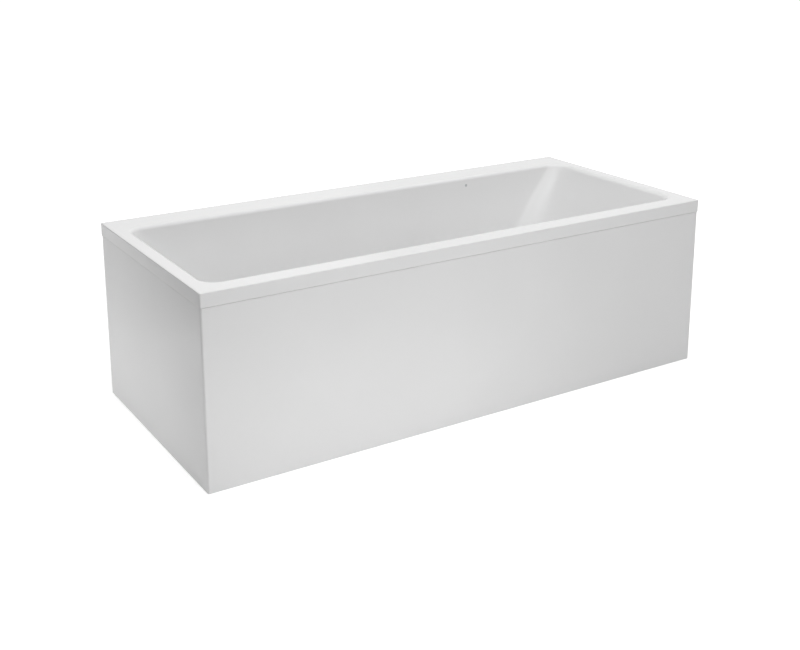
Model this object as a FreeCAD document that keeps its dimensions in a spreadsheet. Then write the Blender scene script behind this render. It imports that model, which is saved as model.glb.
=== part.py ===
import FreeCAD, Part
import math
import os

import Sketcher

# An acrylic bathtub for the corner of a room, with a one-piece panel round its front and foot end.
# Millimetres, +Z up. X runs along the bath towards the sloped head end, -Y is the panelled front.
# The origin is on the floor, under the middle of the rim.

doc = FreeCAD.newDocument("bathtub")
dims = doc.addObject("Spreadsheet::Sheet", "dims")

drivingSizes = [
    # the moulding
    ("bathLength", 1700, "rim, foot end to head end"),
    ("bathWidth", 750, "rim, front to wall"),
    ("bathHeight", 540, "floor to the top of the rim"),
    ("shellWall", 5, "acrylic with its glass-fibre backing"),
    ("rimEdge", 38, "height of the rim's upstanding edge"),
    ("rimCorner", 5, "outer corners in plan"),
    ("rimArris", 2.5, "top outer edge"),
    ("rimFoot", 44, "outer edge to the opening at the foot end"),
    ("rimHead", 46, "outer edge to the opening at the head end"),
    ("rimFront", 66, "outer edge to the opening at the front"),
    ("rimBack", 106, "outer edge to the opening at the wall"),
    ("rimRoll", 12, "rounding from the rim into the basin"),
    ("headRoll", 24, "the same at the head end, where it is softer"),
    ("basinDepth", 410, "rim top to basin floor"),
    ("backrestAngle", 35, "head wall from upright"),
    ("footWallAngle", 9, "foot wall from upright"),
    ("sideWallAngle", 4.5, "side walls from upright"),
    ("openingCorner", 46, "basin corner radius at the rim"),
    ("floorCorner", 110, "basin corner radius at the floor"),
    ("floorBlend", 60, "walls into the basin floor"),
    # the board and battens bonded under the moulding
    ("boardThickness", 18, "base board"),
    ("boardWasteGap", 96, "middle of the waste to the base board"),
    ("boardMargin", 87, "base board inside the basin floor, sides and head end"),
    ("battenHeight", 20, "rim battens"),
    ("battenEnd", 23, "width of the end battens"),
    ("battenFront", 36, "width of the front batten"),
    ("battenBack", 70, "width of the wall batten"),
    ("battenGap", 2, "batten to the inside of the rim's edge"),
    ("battenShort", 120, "how much shorter each batten is than its rim"),
    # the steel cradle and its feet
    ("barWidth", 40, "cradle bar"),
    ("barHeight", 25, "cradle bar"),
    ("barSteel", 2.5, "cradle bar and foot plate"),
    ("barOverhang", 35, "cradle bar beyond its feet"),
    ("barFootInset", 120, "bar near the foot end, from the end of the board"),
    ("barHeadInset", 80, "bar near the head end, from the end of the board"),
    ("barScrewSpacing", 200, "screws that hold a bar to the board"),
    ("footInset", 150, "how much closer the two feet of a bar are than the rim's sides"),
    ("plateSize", 80, "plate of the middle foot"),
    ("plateScrewSpacing", 56, "its screws"),
    ("studRadius", 5, "M10 foot stud"),
    ("studRunning", 0.05, "radial play of the nuts on the stud"),
    ("studHoleGap", 0.5, "radial play of the stud in the steel"),
    ("studRise", 24, "stud above the bar"),
    ("nutFlats", 17, "M10 nut across flats"),
    ("nutHeight", 8, "M10 nut"),
    ("padRadius", 26, "foot pad"),
    ("padHeight", 16, "foot pad"),
    ("padSocket", 10, "depth of the stud in its pad"),
    ("studWell", 2, "radial room for the middle stud in the board"),
    # wall brackets and screws
    ("bracketWidth", 40, "wall bracket"),
    ("bracketSteel", 3, "wall bracket"),
    ("bracketDrop", 90, "wall bracket below the batten"),
    ("wallHoleRadius", 3, "wall bracket holes"),
    ("wallHoleSpacing", 40, "wall bracket holes"),
    ("bracketInset", 370, "each wall bracket from the end of the bath"),
    ("screwRadius", 2, "wood screw"),
    ("screwHeadRadius", 4, "wood screw"),
    ("screwHeadHeight", 2.4, "wood screw"),
    ("screwLength", 14, "wood screw"),
    ("screwClear", 1.6, "screw head to a bracket's bend"),
    # the panel
    ("panelWall", 4, "panel sheet"),
    ("panelSetback", 1.5, "panel behind the rim's face"),
    ("panelGap", 1.2, "shadow gap under the rim"),
    ("panelReturn", 10, "returned edges of the panel"),
    ("panelCorner", 6, "panel's outer corner in plan"),
    ("stiffenerThickness", 12, "boards bonded inside the panel"),
    ("stiffenerHeight", 200, "the same"),
    ("stiffenerBottom", 130, "the same, above the floor"),
    ("stiffenerInset", 90, "the same, from the panel's ends"),
    # magnetic catches and floor rails
    ("strikeSize", 30, "steel plate on the panel"),
    ("strikeThickness", 2, "the same"),
    ("magnetRadius", 10, "pot magnet"),
    ("magnetHeight", 6, "pot magnet"),
    ("magnetDrop", 42, "magnet below the panel's top"),
    ("magnetMargin", 5, "catch bracket below its magnet"),
    ("catchWidth", 34, "catch bracket"),
    ("catchReach", 26, "catch bracket under its batten"),
    ("catchFrontInset", 250, "outer front catches from the ends of the bath"),
    ("catchEndInset", 185, "end catches, how far inside half the bath's width"),
    ("railSize", 25, "floor rail's two legs"),
    ("railWall", 3, "floor rail"),
    ("railLength", 200, "floor rail"),
    ("railGap", 0.5, "floor rail to the panel"),
    ("railHoleRadius", 2.5, "floor rail holes"),
    ("railHoleSpacing", 150, "floor rail holes"),
    ("railInset", 300, "front rails from the ends of the bath"),
    # waste
    ("wastePlace", 125, "waste from the foot wall's end of the floor"),
    ("wasteHoleRadius", 26, "hole in the basin floor"),
    ("flangeLap", 9, "waste flange beyond its hole"),
    ("flangeThickness", 2.5, "waste flange"),
    ("flangeWall", 4.5, "waste flange's tail"),
    ("flangeTail", 26, "waste flange's tail below its rim"),
    ("guideHeight", 6, "spokes and boss that guide the stem"),
    ("spokeWidth", 3, "the same"),
    ("guideWall", 3, "boss around the stem"),
    ("sealThickness", 1.5, "rubber seals"),
    ("sealInset", 1, "seals inside the edge of their flanges"),
    ("fittingGap", 0.5, "radial gap of a fitting in its hole"),
    ("plugLap", 6, "waste plug's cap beyond the hole"),
    ("plugHeight", 8, "waste plug's cap"),
    ("plugRound", 3, "top edge of the plug's cap"),
    ("plugSealThickness", 2, "waste plug's seal"),
    ("stemRadius", 4, "waste plug's stem"),
    ("stemRunning", 0.05, "radial play of stem and spindle"),
    ("plugLift", 10, "travel of the waste plug"),
    ("stemSpare", 4, "stem below its guide when the plug is up"),
    ("cupClearance", 1, "waste body's bore around the hole"),
    ("cupWall", 4, "waste body"),
    ("cupHeight", 48, "waste body"),
    ("neckLevel", 27, "necks below the waste body's top"),
    ("cupFlange", 7, "waste body's flange"),
    ("spoutFit", 0.2, "waste body's outlet in the trap, radial gap"),
    ("spoutWall", 3, "waste body's outlet"),
    ("spoutLength", 20, "waste body's outlet"),
    ("spoutOverlap", 12, "waste body's outlet inside the trap"),
    # trap and outlet pipe
    ("pipeRadius", 20, "40 mm waste pipe"),
    ("pipeWall", 2.5, "40 mm waste pipe"),
    ("trapBend", 27, "radius of the trap's bends"),
    ("trapInlet", 14, "straight inlet of the trap"),
    ("trapRise", 12, "straight rise of the trap"),
    ("trapOutlet", 20, "straight outlet of the trap"),
    ("pipeEnd", 30, "outlet pipe stops short of the wall"),
    ("spigotStep", 0.5, "outlet pipe turned down where it enters its nut"),
    ("spigotReach", 3, "the same, on past the nut"),
    ("pipeNutWall", 7, "trap nuts beyond the pipe"),
    ("pipeNutHeight", 14, "trap nuts"),
    # overflow, in its own frame on the sloping foot wall
    ("overflowDrop", 105, "rim top to the overflow"),
    ("overflowHoleRadius", 26, "hole in the foot wall"),
    ("rosetteLap", 11, "overflow face ring beyond its hole"),
    ("rosetteThickness", 3, "overflow face ring"),
    ("rosetteWall", 2, "overflow face ring's tail"),
    ("rosetteTail", 14, "overflow face ring's threaded tail"),
    ("threadGap", 0.1, "radial gap where threads are left plain"),
    ("knobRadius", 33, "overflow control knob"),
    ("knobHeight", 16, "overflow control knob"),
    ("knobRound", 3, "front edge of the knob"),
    ("knobGap", 5, "knob to face ring, where the water enters"),
    ("knobGrip", 50, "raised bar across the knob"),
    ("knobGripWidth", 7, "the same"),
    ("knobGripHeight", 5, "the same"),
    ("knobGripRound", 2, "the same"),
    ("spindleRadius", 4, "knob spindle"),
    ("drumRadius", 14, "drum that winds the cable"),
    ("drumThickness", 4, "the same"),
    ("elbowDepth", 30, "overflow body"),
    ("elbowWall", 5, "overflow body"),
    ("neckSet", 20.5, "necks behind the overflow body's front"),
    ("elbowLap", 10, "overflow body's flange beyond the hole"),
    ("hoseFit", 0.3, "hose around its necks, radial gap"),
    ("hoseNeckWall", 2.2, "necks that the hose fits over"),
    ("hoseNeckLength", 20, "the same"),
    # hose and cable
    ("hoseRadius", 11.5, "overflow hose outside"),
    ("hoseBore", 8.5, "overflow hose inside"),
    ("hoseBend", 70, "bend of hose and cable"),
    ("hoseNutWall", 3.3, "hose nuts beyond the hose"),
    ("hoseNutHeight", 18, "hose nuts"),
    ("hoseNutGap", 2, "hose nuts to each body"),
    ("hoseStop", 3, "hose's ends to each body"),
    ("cableRadius", 2.5, "control cable"),
    ("cableGap", 0.1, "radial gap of the cable in its glands"),
    ("cableStop", 2, "cable's ends to each body"),
    ("glandWall", 2.5, "cable glands"),
    ("glandLength", 10, "the same"),
    ("cableAside", 20.5, "control cable beside the hose"),
    # small parts
    ("pilotRadius", 3.5, "small hole high in the wall side"),
    ("pilotDrop", 28, "rim top to the small hole"),
    ("pilotInset", 453, "small hole from the head end"),
    ("capLap", 1.1, "the small hole's cap beyond it"),
    ("capThickness", 1.4, "the same"),
]

for number, (name, size, note) in enumerate(drivingSizes, start=1):
    dims.set(f"A{number}", note)
    dims.set(f"B{number}", str(size))
    dims.setAlias(f"B{number}", name)
doc.recompute()

# A probe reads what an expression gives, so that a sketch can start near its final shape.
probe = doc.addObject("App::VarSet", "probe")
probe.addProperty("App::PropertyFloat", "reading")


def reading(expression):
    probe.setExpression("reading", expression)
    probe.recompute()
    return probe.reading


finished = []


def keep(piece, label):
    """Names a finished piece and lists it for writing."""
    piece.Label = label
    finished.append(piece)
    return piece


def place(piece, corner, axis=None, angle=None):
    """Puts a piece at a point of the bath, turned about one axis."""
    if axis:
        piece.Placement = FreeCAD.Placement(FreeCAD.Vector(), FreeCAD.Rotation(FreeCAD.Vector(*axis), 0))
        piece.setExpression("Placement.Rotation.Angle", str(angle))
    for direction, where in zip("xyz", corner):
        piece.setExpression(f"Placement.Base.{direction}", str(where))
    return piece


# ---------------------------------------------------------------- plain solids


def block(name, sizes, corner):
    piece = doc.addObject("Part::Box", name)
    for side, size in zip(("Length", "Width", "Height"), sizes):
        piece.setExpression(side, str(size))
    return place(piece, corner)


def rod(name, radius, length, start, axis=None, angle=None):
    piece = doc.addObject("Part::Cylinder", name)
    piece.setExpression("Radius", str(radius))
    piece.setExpression("Height", str(length))
    return place(piece, start, axis, angle)


def hexagon(name, flats, height, start):
    piece = doc.addObject("Part::Prism", name)
    piece.Polygon = 6
    piece.setExpression("Circumradius", f"{flats} / sqrt(3)")
    piece.setExpression("Height", str(height))
    return place(piece, start)


def group(name, members):
    piece = doc.addObject("Part::Compound", name)
    piece.Links = members
    return piece


def cut(name, base, tool):
    piece = doc.addObject("Part::Cut", name)
    piece.Base = base
    piece.Tool = tool
    return piece


def fuse(name, members):
    piece = doc.addObject("Part::MultiFuse", name)
    piece.Shapes = members
    piece.Refine = True
    return piece


upright = ((1, 0, 0), 0)
alongY = ((1, 0, 0), -90)
towardsX = ((0, 1, 0), -90)
towardsY = ((1, 0, 0), 90)


def screws(label, places, turn=upright):
    """A set of equal wood screws, each with its head at its place and its shank along the turned axis."""
    members = []
    for number, spot in enumerate(places, start=1):
        shank = rod(f"{label}_shank{number}", "dims.screwRadius", "dims.screwLength", (0, 0, 0))
        head = rod(
            f"{label}_head{number}",
            "dims.screwHeadRadius",
            "dims.screwHeadHeight",
            (0, 0, "-dims.screwHeadHeight"),
        )
        screw = fuse(f"{label}_screw{number}", [shank, head])
        place(screw, spot, *turn)
        members.append(screw)
    return members


def holes(name, places, radius, length, turn=upright):
    members = []
    for number, spot in enumerate(places, start=1):
        members.append(rod(f"{name}{number}", radius, length, spot, *turn))
    return group(name, members)


# ---------------------------------------------------------------- sketched solids


def newBody(name, corner=(0, 0, 0), axis=None, angle=None):
    body = doc.addObject("PartDesign::Body", name)
    return place(body, corner, axis, angle)


def originPlane(body, role):
    return next(feature for feature in body.Origin.OriginFeatures if feature.Role == role)


def newSketch(body, name, role="XY_Plane", height=None):
    sketch = body.newObject("Sketcher::SketchObject", name)
    sketch.AttachmentSupport = [(originPlane(body, role), "")]
    sketch.MapMode = "FlatFace"
    if height is not None:
        sketch.setExpression("AttachmentOffset.Base.z", str(height))
    return sketch


def pin(sketch, geometry, point, across, up):
    """Ties one point of a sketch to its two coordinates."""
    for kind, line, where in (("DistanceX", -2, across), ("DistanceY", -1, up)):
        distance = reading(str(where))
        if abs(distance) < 1e-9:
            sketch.addConstraint(Sketcher.Constraint("PointOnObject", geometry, point, line))
            continue
        if distance > 0:
            index = sketch.addConstraint(Sketcher.Constraint(kind, -1, 1, geometry, point, distance))
            sketch.setExpression(f"Constraints[{index}]", str(where))
        else:
            index = sketch.addConstraint(Sketcher.Constraint(kind, geometry, point, -1, 1, -distance))
            sketch.setExpression(f"Constraints[{index}]", f"-({where})")


def outline(sketch, corners):
    """A closed outline of straight lines through the given corners."""
    points = [FreeCAD.Vector(reading(str(across)), reading(str(up)), 0) for across, up in corners]
    first = sketch.GeometryCount
    count = len(points)
    for number in range(count):
        sketch.addGeometry(Part.LineSegment(points[number], points[(number + 1) % count]))
    for number in range(count):
        following = (number + 1) % count
        sketch.addConstraint(Sketcher.Constraint("Coincident", first + number, 2, first + following, 1))
    for number, (across, up) in enumerate(corners):
        pin(sketch, first + number, 1, across, up)
    return sketch


def circle(sketch, radius, across=0, up=0):
    centre = FreeCAD.Vector(reading(str(across)), reading(str(up)), 0)
    index = sketch.addGeometry(Part.Circle(centre, FreeCAD.Vector(0, 0, 1), reading(str(radius))))
    size = sketch.addConstraint(Sketcher.Constraint("Radius", index, reading(str(radius))))
    sketch.setExpression(f"Constraints[{size}]", str(radius))
    pin(sketch, index, 3, across, up)
    return sketch


def rectangle(sketch, left, right, front, back):
    return outline(sketch, [(left, front), (right, front), (right, back), (left, back)])


def roundedRectangle(sketch, left, right, front, back, radius):
    """Four sides joined by four equal quarter circles."""
    west, east, south, north, corner = (reading(side) for side in (left, right, front, back, radius))
    centres = [
        (east - corner, south + corner, -90),
        (east - corner, north - corner, 0),
        (west + corner, north - corner, 90),
        (west + corner, south + corner, 180),
    ]
    arcs = []
    for across, up, start in centres:
        ring = Part.Circle(FreeCAD.Vector(across, up, 0), FreeCAD.Vector(0, 0, 1), corner)
        arcs.append(Part.ArcOfCircle(ring, math.radians(start), math.radians(start + 90)))
    for number in range(4):
        sketch.addGeometry(Part.LineSegment(arcs[number - 1].EndPoint, arcs[number].StartPoint))
        sketch.addGeometry(arcs[number])
    for number in range(8):
        sketch.addConstraint(Sketcher.Constraint("Tangent", number, 2, (number + 1) % 8, 1))
    for number in range(4):
        sketch.addConstraint(Sketcher.Constraint("Vertical" if number % 2 else "Horizontal", 2 * number))
    for number in (3, 5, 7):
        sketch.addConstraint(Sketcher.Constraint("Equal", 1, number))
    size = sketch.addConstraint(Sketcher.Constraint("Radius", 1, corner))
    sketch.setExpression(f"Constraints[{size}]", radius)
    for kind, side, where in (
        ("DistanceY", 0, front),
        ("DistanceX", 2, right),
        ("DistanceY", 4, back),
        ("DistanceX", 6, left),
    ):
        distance = reading(where)
        ends = (-1, 1, side, 1) if distance > 0 else (side, 1, -1, 1)
        index = sketch.addConstraint(Sketcher.Constraint(kind, *ends, abs(distance)))
        sketch.setExpression(f"Constraints[{index}]", where if distance > 0 else f"-({where})")
    return sketch


def pad(body, sketch, length, midplane=False, reverse=False):
    feature = body.newObject("PartDesign::Pad", sketch.Name + "_pad")
    feature.Profile = sketch
    feature.setExpression("Length", str(length))
    feature.Midplane = midplane
    feature.Reversed = reverse
    doc.recompute()
    return feature


def pocket(body, sketch, length=None, midplane=False, reverse=False):
    before = body.Shape.Volume
    feature = body.newObject("PartDesign::Pocket", sketch.Name + "_pocket")
    feature.Profile = sketch
    if length is None:
        feature.Type = "ThroughAll"
    else:
        feature.setExpression("Length", str(length))
    feature.Midplane = midplane
    feature.Reversed = reverse
    doc.recompute()
    if not body.Shape.Volume < before:
        raise RuntimeError(f"{feature.Name} takes nothing away")
    return feature


def turned(body, sketch, groove=False):
    """Turns a profile that was drawn in the XZ plane about the body's own Z axis."""
    kind = "PartDesign::Groove" if groove else "PartDesign::Revolution"
    feature = body.newObject(kind, sketch.Name + "_turned")
    feature.Profile = sketch
    feature.ReferenceAxis = (originAxis(body), [""])
    feature.Angle = 360
    doc.recompute()
    return feature


def originAxis(body):
    return originPlane(body, "Z_Axis")


def turnedBody(label, profile, corner=(0, 0, 0), axis=None, angle=None):
    body = newBody(label + "_body", corner, axis, angle)
    turned(body, outline(newSketch(body, label + "_profile", "XZ_Plane"), profile))
    return body


def edges(feature, wanted):
    return [f"Edge{number}" for number, edge in enumerate(feature.Shape.Edges, start=1) if wanted(edge)]


def roundOff(body, base, wanted, radius):
    feature = body.newObject("PartDesign::Fillet", base.Name + "_round")
    feature.Base = (base, edges(base, wanted))
    feature.setExpression("Radius", str(radius))
    doc.recompute()
    return feature


def upwardEdge(edge):
    box = edge.BoundBox
    return box.ZLength > 1 and box.XLength < 1e-6 and box.YLength < 1e-6


def levelEdge(height):
    def wanted(edge):
        box = edge.BoundBox
        return abs(box.ZMin - height) < 1e-4 and abs(box.ZMax - height) < 1e-4

    return wanted


def ring(label, outer, inner, bottom, height, corner=(0, 0, 0), axis=None, angle=None):
    top = f"({bottom}) + ({height})"
    profile = [(inner, bottom), (outer, bottom), (outer, top), (inner, top)]
    return turnedBody(label, profile, corner, axis, angle)


# ---------------------------------------------------------------- where things are

half = "dims.bathLength / 2"
halfWidth = "dims.bathWidth / 2"
rimUnder = "(dims.bathHeight - dims.shellWall)"
skirtBottom = "(dims.bathHeight - dims.rimEdge)"
floorTop = "(dims.bathHeight - dims.basinDepth)"
floorUnder = "(dims.bathHeight - dims.basinDepth - dims.shellWall)"

openLeft = f"(dims.rimFoot - {half})"
openRight = f"({half} - dims.rimHead)"
openFront = f"(dims.rimFront - {halfWidth})"
openBack = f"({halfWidth} - dims.rimBack)"
basinMiddle = "((dims.rimFront - dims.rimBack) / 2)"

sideRun = "dims.basinDepth * tan(dims.sideWallAngle)"
floorLeft = f"({openLeft} + dims.basinDepth * tan(dims.footWallAngle))"
floorRight = f"({openRight} - dims.basinDepth * tan(dims.backrestAngle))"
floorFront = f"({openFront} + {sideRun})"
floorBack = f"({openBack} - {sideRun})"

wasteX = f"({floorLeft} + dims.wastePlace)"
wasteFrame = (wasteX, basinMiddle, floorTop)
boardUnder = f"({floorUnder} - dims.boardThickness)"
boardFoot = f"({wasteX} + dims.boardWasteGap)"
boardHead = f"({floorRight} - dims.boardMargin)"
boardCentre = f"(({boardFoot} + {boardHead}) / 2)"
barPlaces = {"foot": f"({boardFoot} + dims.barFootInset)", "head": f"({boardHead} - dims.barHeadInset)"}
footSpacing = "(dims.bathWidth - dims.footInset)"
bracketPlace = f"({half} - dims.bracketInset)"
barUnderWeb = f"({boardUnder} - dims.barSteel)"
battenUnder = f"({rimUnder} - dims.battenHeight)"
barLength = f"({footSpacing} + 2 * dims.barOverhang)"
capRadius = "(dims.pilotRadius + dims.capLap)"
skirtInsideX = f"({half} - dims.shellWall)"
skirtInsideY = f"({halfWidth} - dims.shellWall)"
panelTop = f"({skirtBottom} - dims.panelGap)"
panelInsideX = f"({half} - dims.panelSetback - dims.panelWall)"
panelInsideY = f"({halfWidth} - dims.panelSetback - dims.panelWall)"


# ---------------------------------------------------------------- the moulding


def outward(angle):
    """How far a sloping wall's outside stands out, at a level one wall thickness lower."""
    return f"(dims.shellWall * (1 / cos({angle}) - tan({angle})))"


def bathShell():
    body = newBody("moulding")
    rim = rectangle(newSketch(body, "rim", height=skirtBottom), f"-{half}", half, f"-{halfWidth}", halfWidth)
    plate = pad(body, rim, "dims.rimEdge")
    corners = roundOff(body, plate, upwardEdge, "dims.rimCorner")
    roundOff(body, corners, levelEdge(reading("dims.bathHeight")), "dims.rimArris")

    under = rectangle(
        newSketch(body, "rim_inside", height=skirtBottom),
        f"-{skirtInsideX}",
        skirtInsideX,
        f"-{skirtInsideY}",
        skirtInsideY,
    )
    pocket(body, under, "dims.rimEdge - dims.shellWall", reverse=True)

    footStep = outward("dims.footWallAngle")
    headStep = outward("dims.backrestAngle")
    sideStep = outward("dims.sideWallAngle")
    outerTop = roundedRectangle(
        newSketch(body, "basin_outside_top", height=rimUnder),
        f"{openLeft} - {footStep}",
        f"{openRight} + {headStep}",
        f"{openFront} - {sideStep}",
        f"{openBack} + {sideStep}",
        "dims.openingCorner + dims.shellWall",
    )
    outerFloor = roundedRectangle(
        newSketch(body, "basin_outside_floor", height=floorUnder),
        f"{floorLeft} - {footStep}",
        f"{floorRight} + {headStep}",
        f"{floorFront} - {sideStep}",
        f"{floorBack} + {sideStep}",
        "dims.floorCorner + dims.shellWall",
    )
    outside = body.newObject("PartDesign::AdditiveLoft", "basin_outside")
    outside.Profile = outerTop
    outside.Sections = [outerFloor]
    outside.Ruled = True
    doc.recompute()
    roundOff(body, outside, levelEdge(reading(floorUnder)), "dims.floorBlend + dims.shellWall")

    form = basinForm()
    hollow = cut("moulding_hollow", body, form)
    fittings = [
        wallHole("waste_hole", "dims.wasteHoleRadius", wasteFrame),
        wallHole("overflow_hole", "dims.overflowHoleRadius", overflowCentre, *overflowTurn),
        wallHole("pilot_hole", "dims.pilotRadius", pilotCentre, *pilotTurn),
    ]
    drilled = cut("moulding_drilled", hollow, group("moulding_holes", fittings))
    doc.recompute()
    return keep(rimRoll(drilled), "bath_shell")


def wallHole(name, radius, centre, axis=None, angle=None):
    """A cutter through a wall of the basin, square to it, from a point on the wall's inside."""
    through = rod(name, radius, "3 * dims.shellWall", (0, 0, "-2 * dims.shellWall"))
    return place(group(name + "_cutter", [through]), centre, axis, angle)


def basinForm():
    """The shape of the basin's inside, as one solid from rim to floor."""
    body = newBody("basin_form")
    top = roundedRectangle(
        newSketch(body, "basin_top", height="dims.bathHeight"),
        openLeft,
        openRight,
        openFront,
        openBack,
        "dims.openingCorner",
    )
    floor = roundedRectangle(
        newSketch(body, "basin_floor", height=floorTop),
        floorLeft,
        floorRight,
        floorFront,
        floorBack,
        "dims.floorCorner",
    )
    inside = body.newObject("PartDesign::AdditiveLoft", "basin_inside")
    inside.Profile = top
    inside.Sections = [floor]
    inside.Ruled = True
    doc.recompute()
    roundOff(body, inside, levelEdge(reading(floorTop)), "dims.floorBlend")
    return body


def rimRoll(moulding):
    """Rounds the rim into the basin, with a larger radius across the head end."""
    roll = doc.addObject("Part::Fillet", "rim_roll")
    roll.Base = moulding
    top = levelEdge(reading("dims.bathHeight"))
    inward = reading("(dims.shellWall + dims.rimArris + dims.rimCorner)")
    length = reading(half) - inward
    width = reading(halfWidth) - inward
    headStart = reading(f"{openRight} - dims.openingCorner") - 0.001
    small = reading("dims.rimRoll")
    large = reading("dims.headRoll")
    radii = []
    for number, edge in enumerate(moulding.Shape.Edges, start=1):
        box = edge.BoundBox
        atRim = top(edge) and max(-box.XMin, box.XMax) < length and max(-box.YMin, box.YMax) < width
        if not atRim:
            continue
        # A head corner grows from the small radius to the large one, and the head edge keeps the large one.
        headEdge = box.XMin > headStart
        sizes = []
        for parameter in (edge.FirstParameter, edge.LastParameter):
            atHead = headEdge and edge.valueAt(parameter).x > headStart + 0.002
            sizes.append(large if atHead else small)
        radii.append((number, *sizes))
    roll.Edges = radii
    doc.recompute()
    return roll


overflowCentre = (
    f"{openLeft} + dims.overflowDrop * tan(dims.footWallAngle)",
    basinMiddle,
    "dims.bathHeight - dims.overflowDrop",
)
pilotCentre = (
    f"{half} - dims.pilotInset",
    f"{openBack} - dims.pilotDrop * tan(dims.sideWallAngle)",
    "dims.bathHeight - dims.pilotDrop",
)


# Each turns the local Z axis square to its wall, into the basin.
overflowTurn = ((0, 1, 0), "90 - dims.footWallAngle")
pilotTurn = ((1, 0, 0), "90 - dims.sideWallAngle")


def blankingCap():
    """A push-in cap, its shank in the small hole and its face on the basin's wall."""
    shankRadius = "dims.pilotRadius - dims.stemRunning"
    profile = [
        (0, "-(dims.shellWall + dims.capThickness)"),
        (shankRadius, "-(dims.shellWall + dims.capThickness)"),
        (shankRadius, 0),
        (capRadius, 0),
        (capRadius, "dims.capThickness / 2"),
        (f"{capRadius} - dims.capThickness / 2", "dims.capThickness"),
        (0, "dims.capThickness"),
    ]
    body = turnedBody("pilot_cap", profile, pilotCentre, *pilotTurn)
    keep(body, "pilot_hole_cap")


# ---------------------------------------------------------------- board, battens and cradle


def footPlaces():
    """The four feet of the bars, then the middle foot, as points in plan."""
    places = []
    for along in barPlaces.values():
        for side in ("-", "+"):
            places.append((along, f"{basinMiddle} {side} {footSpacing} / 2"))
    places.append((boardCentre, basinMiddle))
    return places


def barScrewPlaces():
    return [
        (along, f"{basinMiddle} {side} dims.barScrewSpacing / 2", barUnderWeb)
        for along in barPlaces.values()
        for side in ("-", "+")
    ]


def plateScrewPlaces():
    step = "dims.plateScrewSpacing / 2"
    return [
        (f"{boardCentre} {across} {step}", f"{basinMiddle} {side} {step}", barUnderWeb)
        for across in ("-", "+")
        for side in ("-", "+")
    ]


def baseBoard():
    width = f"({floorBack} - {floorFront} - 2 * dims.boardMargin)"
    size = (f"{boardHead} - {boardFoot}", width, "dims.boardThickness")
    board = block("board_blank", size, (boardFoot, f"{floorFront} + dims.boardMargin", boardUnder))
    screwPlaces = barScrewPlaces() + plateScrewPlaces()
    pilots = holes("board_pilots", screwPlaces, "dims.screwRadius", "dims.screwLength")
    wellRadius = "dims.studRadius + dims.studWell"
    well = rod("board_well", wellRadius, "dims.boardThickness", (*footPlaces()[-1], boardUnder))
    keep(cut("board", board, group("board_holes", [pilots, well])), "base_board")


def batten(label, size, corner, screwPlaces):
    blank = block(label + "_blank", size, corner)
    pilots = holes(label + "_pilots", screwPlaces, "dims.screwRadius", "dims.screwLength")
    keep(cut(label + "_drilled", blank, pilots), label)


def battens():
    reach = "(dims.bathLength - dims.battenShort)"
    frontEdge = f"(-{skirtInsideY} + dims.battenGap)"
    batten(
        "rim_batten_front",
        (reach, "dims.battenFront", "dims.battenHeight"),
        (f"-{reach} / 2", frontEdge, battenUnder),
        frontCatchScrews(),
    )
    batten(
        "rim_batten_wall",
        (reach, "dims.battenBack", "dims.battenHeight"),
        (f"-{reach} / 2", f"{skirtInsideY} - dims.battenGap - dims.battenBack", battenUnder),
        wallBracketScrews(),
    )
    # The end battens fit between the two long ones.
    longOnes = "(dims.battenFront + dims.battenBack)"
    between = f"(2 * {skirtInsideY} - 2 * dims.battenGap - {longOnes} - dims.battenShort)"
    start = f"({frontEdge} + dims.battenFront + dims.battenShort / 2)"
    batten(
        "rim_batten_foot",
        ("dims.battenEnd", between, "dims.battenHeight"),
        (f"-{skirtInsideX} + dims.battenGap", start, battenUnder),
        endCatchScrews(),
    )
    batten(
        "rim_batten_head",
        ("dims.battenEnd", between, "dims.battenHeight"),
        (f"{skirtInsideX} - dims.battenGap - dims.battenEnd", start, battenUnder),
        headBracketScrews(),
    )


def cradleBar(end, along):
    """A channel with its open side down, screwed up into the base board."""
    name = f"cradle_bar_{end}"
    edge = f"{along} - dims.barWidth / 2"
    front = f"{basinMiddle} - {barLength} / 2"
    bottom = f"{boardUnder} - dims.barHeight"
    outer = block(name + "_outer", ("dims.barWidth", barLength, "dims.barHeight"), (edge, front, bottom))
    inner = block(
        name + "_inner",
        ("dims.barWidth - 2 * dims.barSteel", barLength, "dims.barHeight - dims.barSteel"),
        (f"{edge} + dims.barSteel", front, bottom),
    )
    studs = [(x, y, barUnderWeb) for x, y in footPlaces() if x == along]
    fixings = [spot for spot in barScrewPlaces() if spot[0] == along]
    studHoles = holes(name + "_studs", studs, "dims.studRadius + dims.studHoleGap", "dims.barSteel")
    screwHoles = holes(name + "_fixings", fixings, "dims.screwRadius", "dims.barSteel")
    keep(cut(name + "_channel", outer, group(name + "_away", [inner, studHoles, screwHoles])), name)


def middlePlate():
    middleX, middleY = footPlaces()[-1]
    blank = block(
        "plate_blank",
        ("dims.plateSize", "dims.plateSize", "dims.barSteel"),
        (f"{middleX} - dims.plateSize / 2", f"{middleY} - dims.plateSize / 2", barUnderWeb),
    )
    studHole = "dims.studRadius + dims.studHoleGap"
    stud = holes("plate_stud", [(middleX, middleY, barUnderWeb)], studHole, "dims.barSteel")
    fixings = holes("plate_fixings", plateScrewPlaces(), "dims.screwRadius", "dims.barSteel")
    keep(cut("plate", blank, group("plate_away", [stud, fixings])), "middle_foot_plate")


def cradleScrews():
    keep(group("cradle_screw_set", screws("cradle", barScrewPlaces() + plateScrewPlaces())), "cradle_screws")


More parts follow.
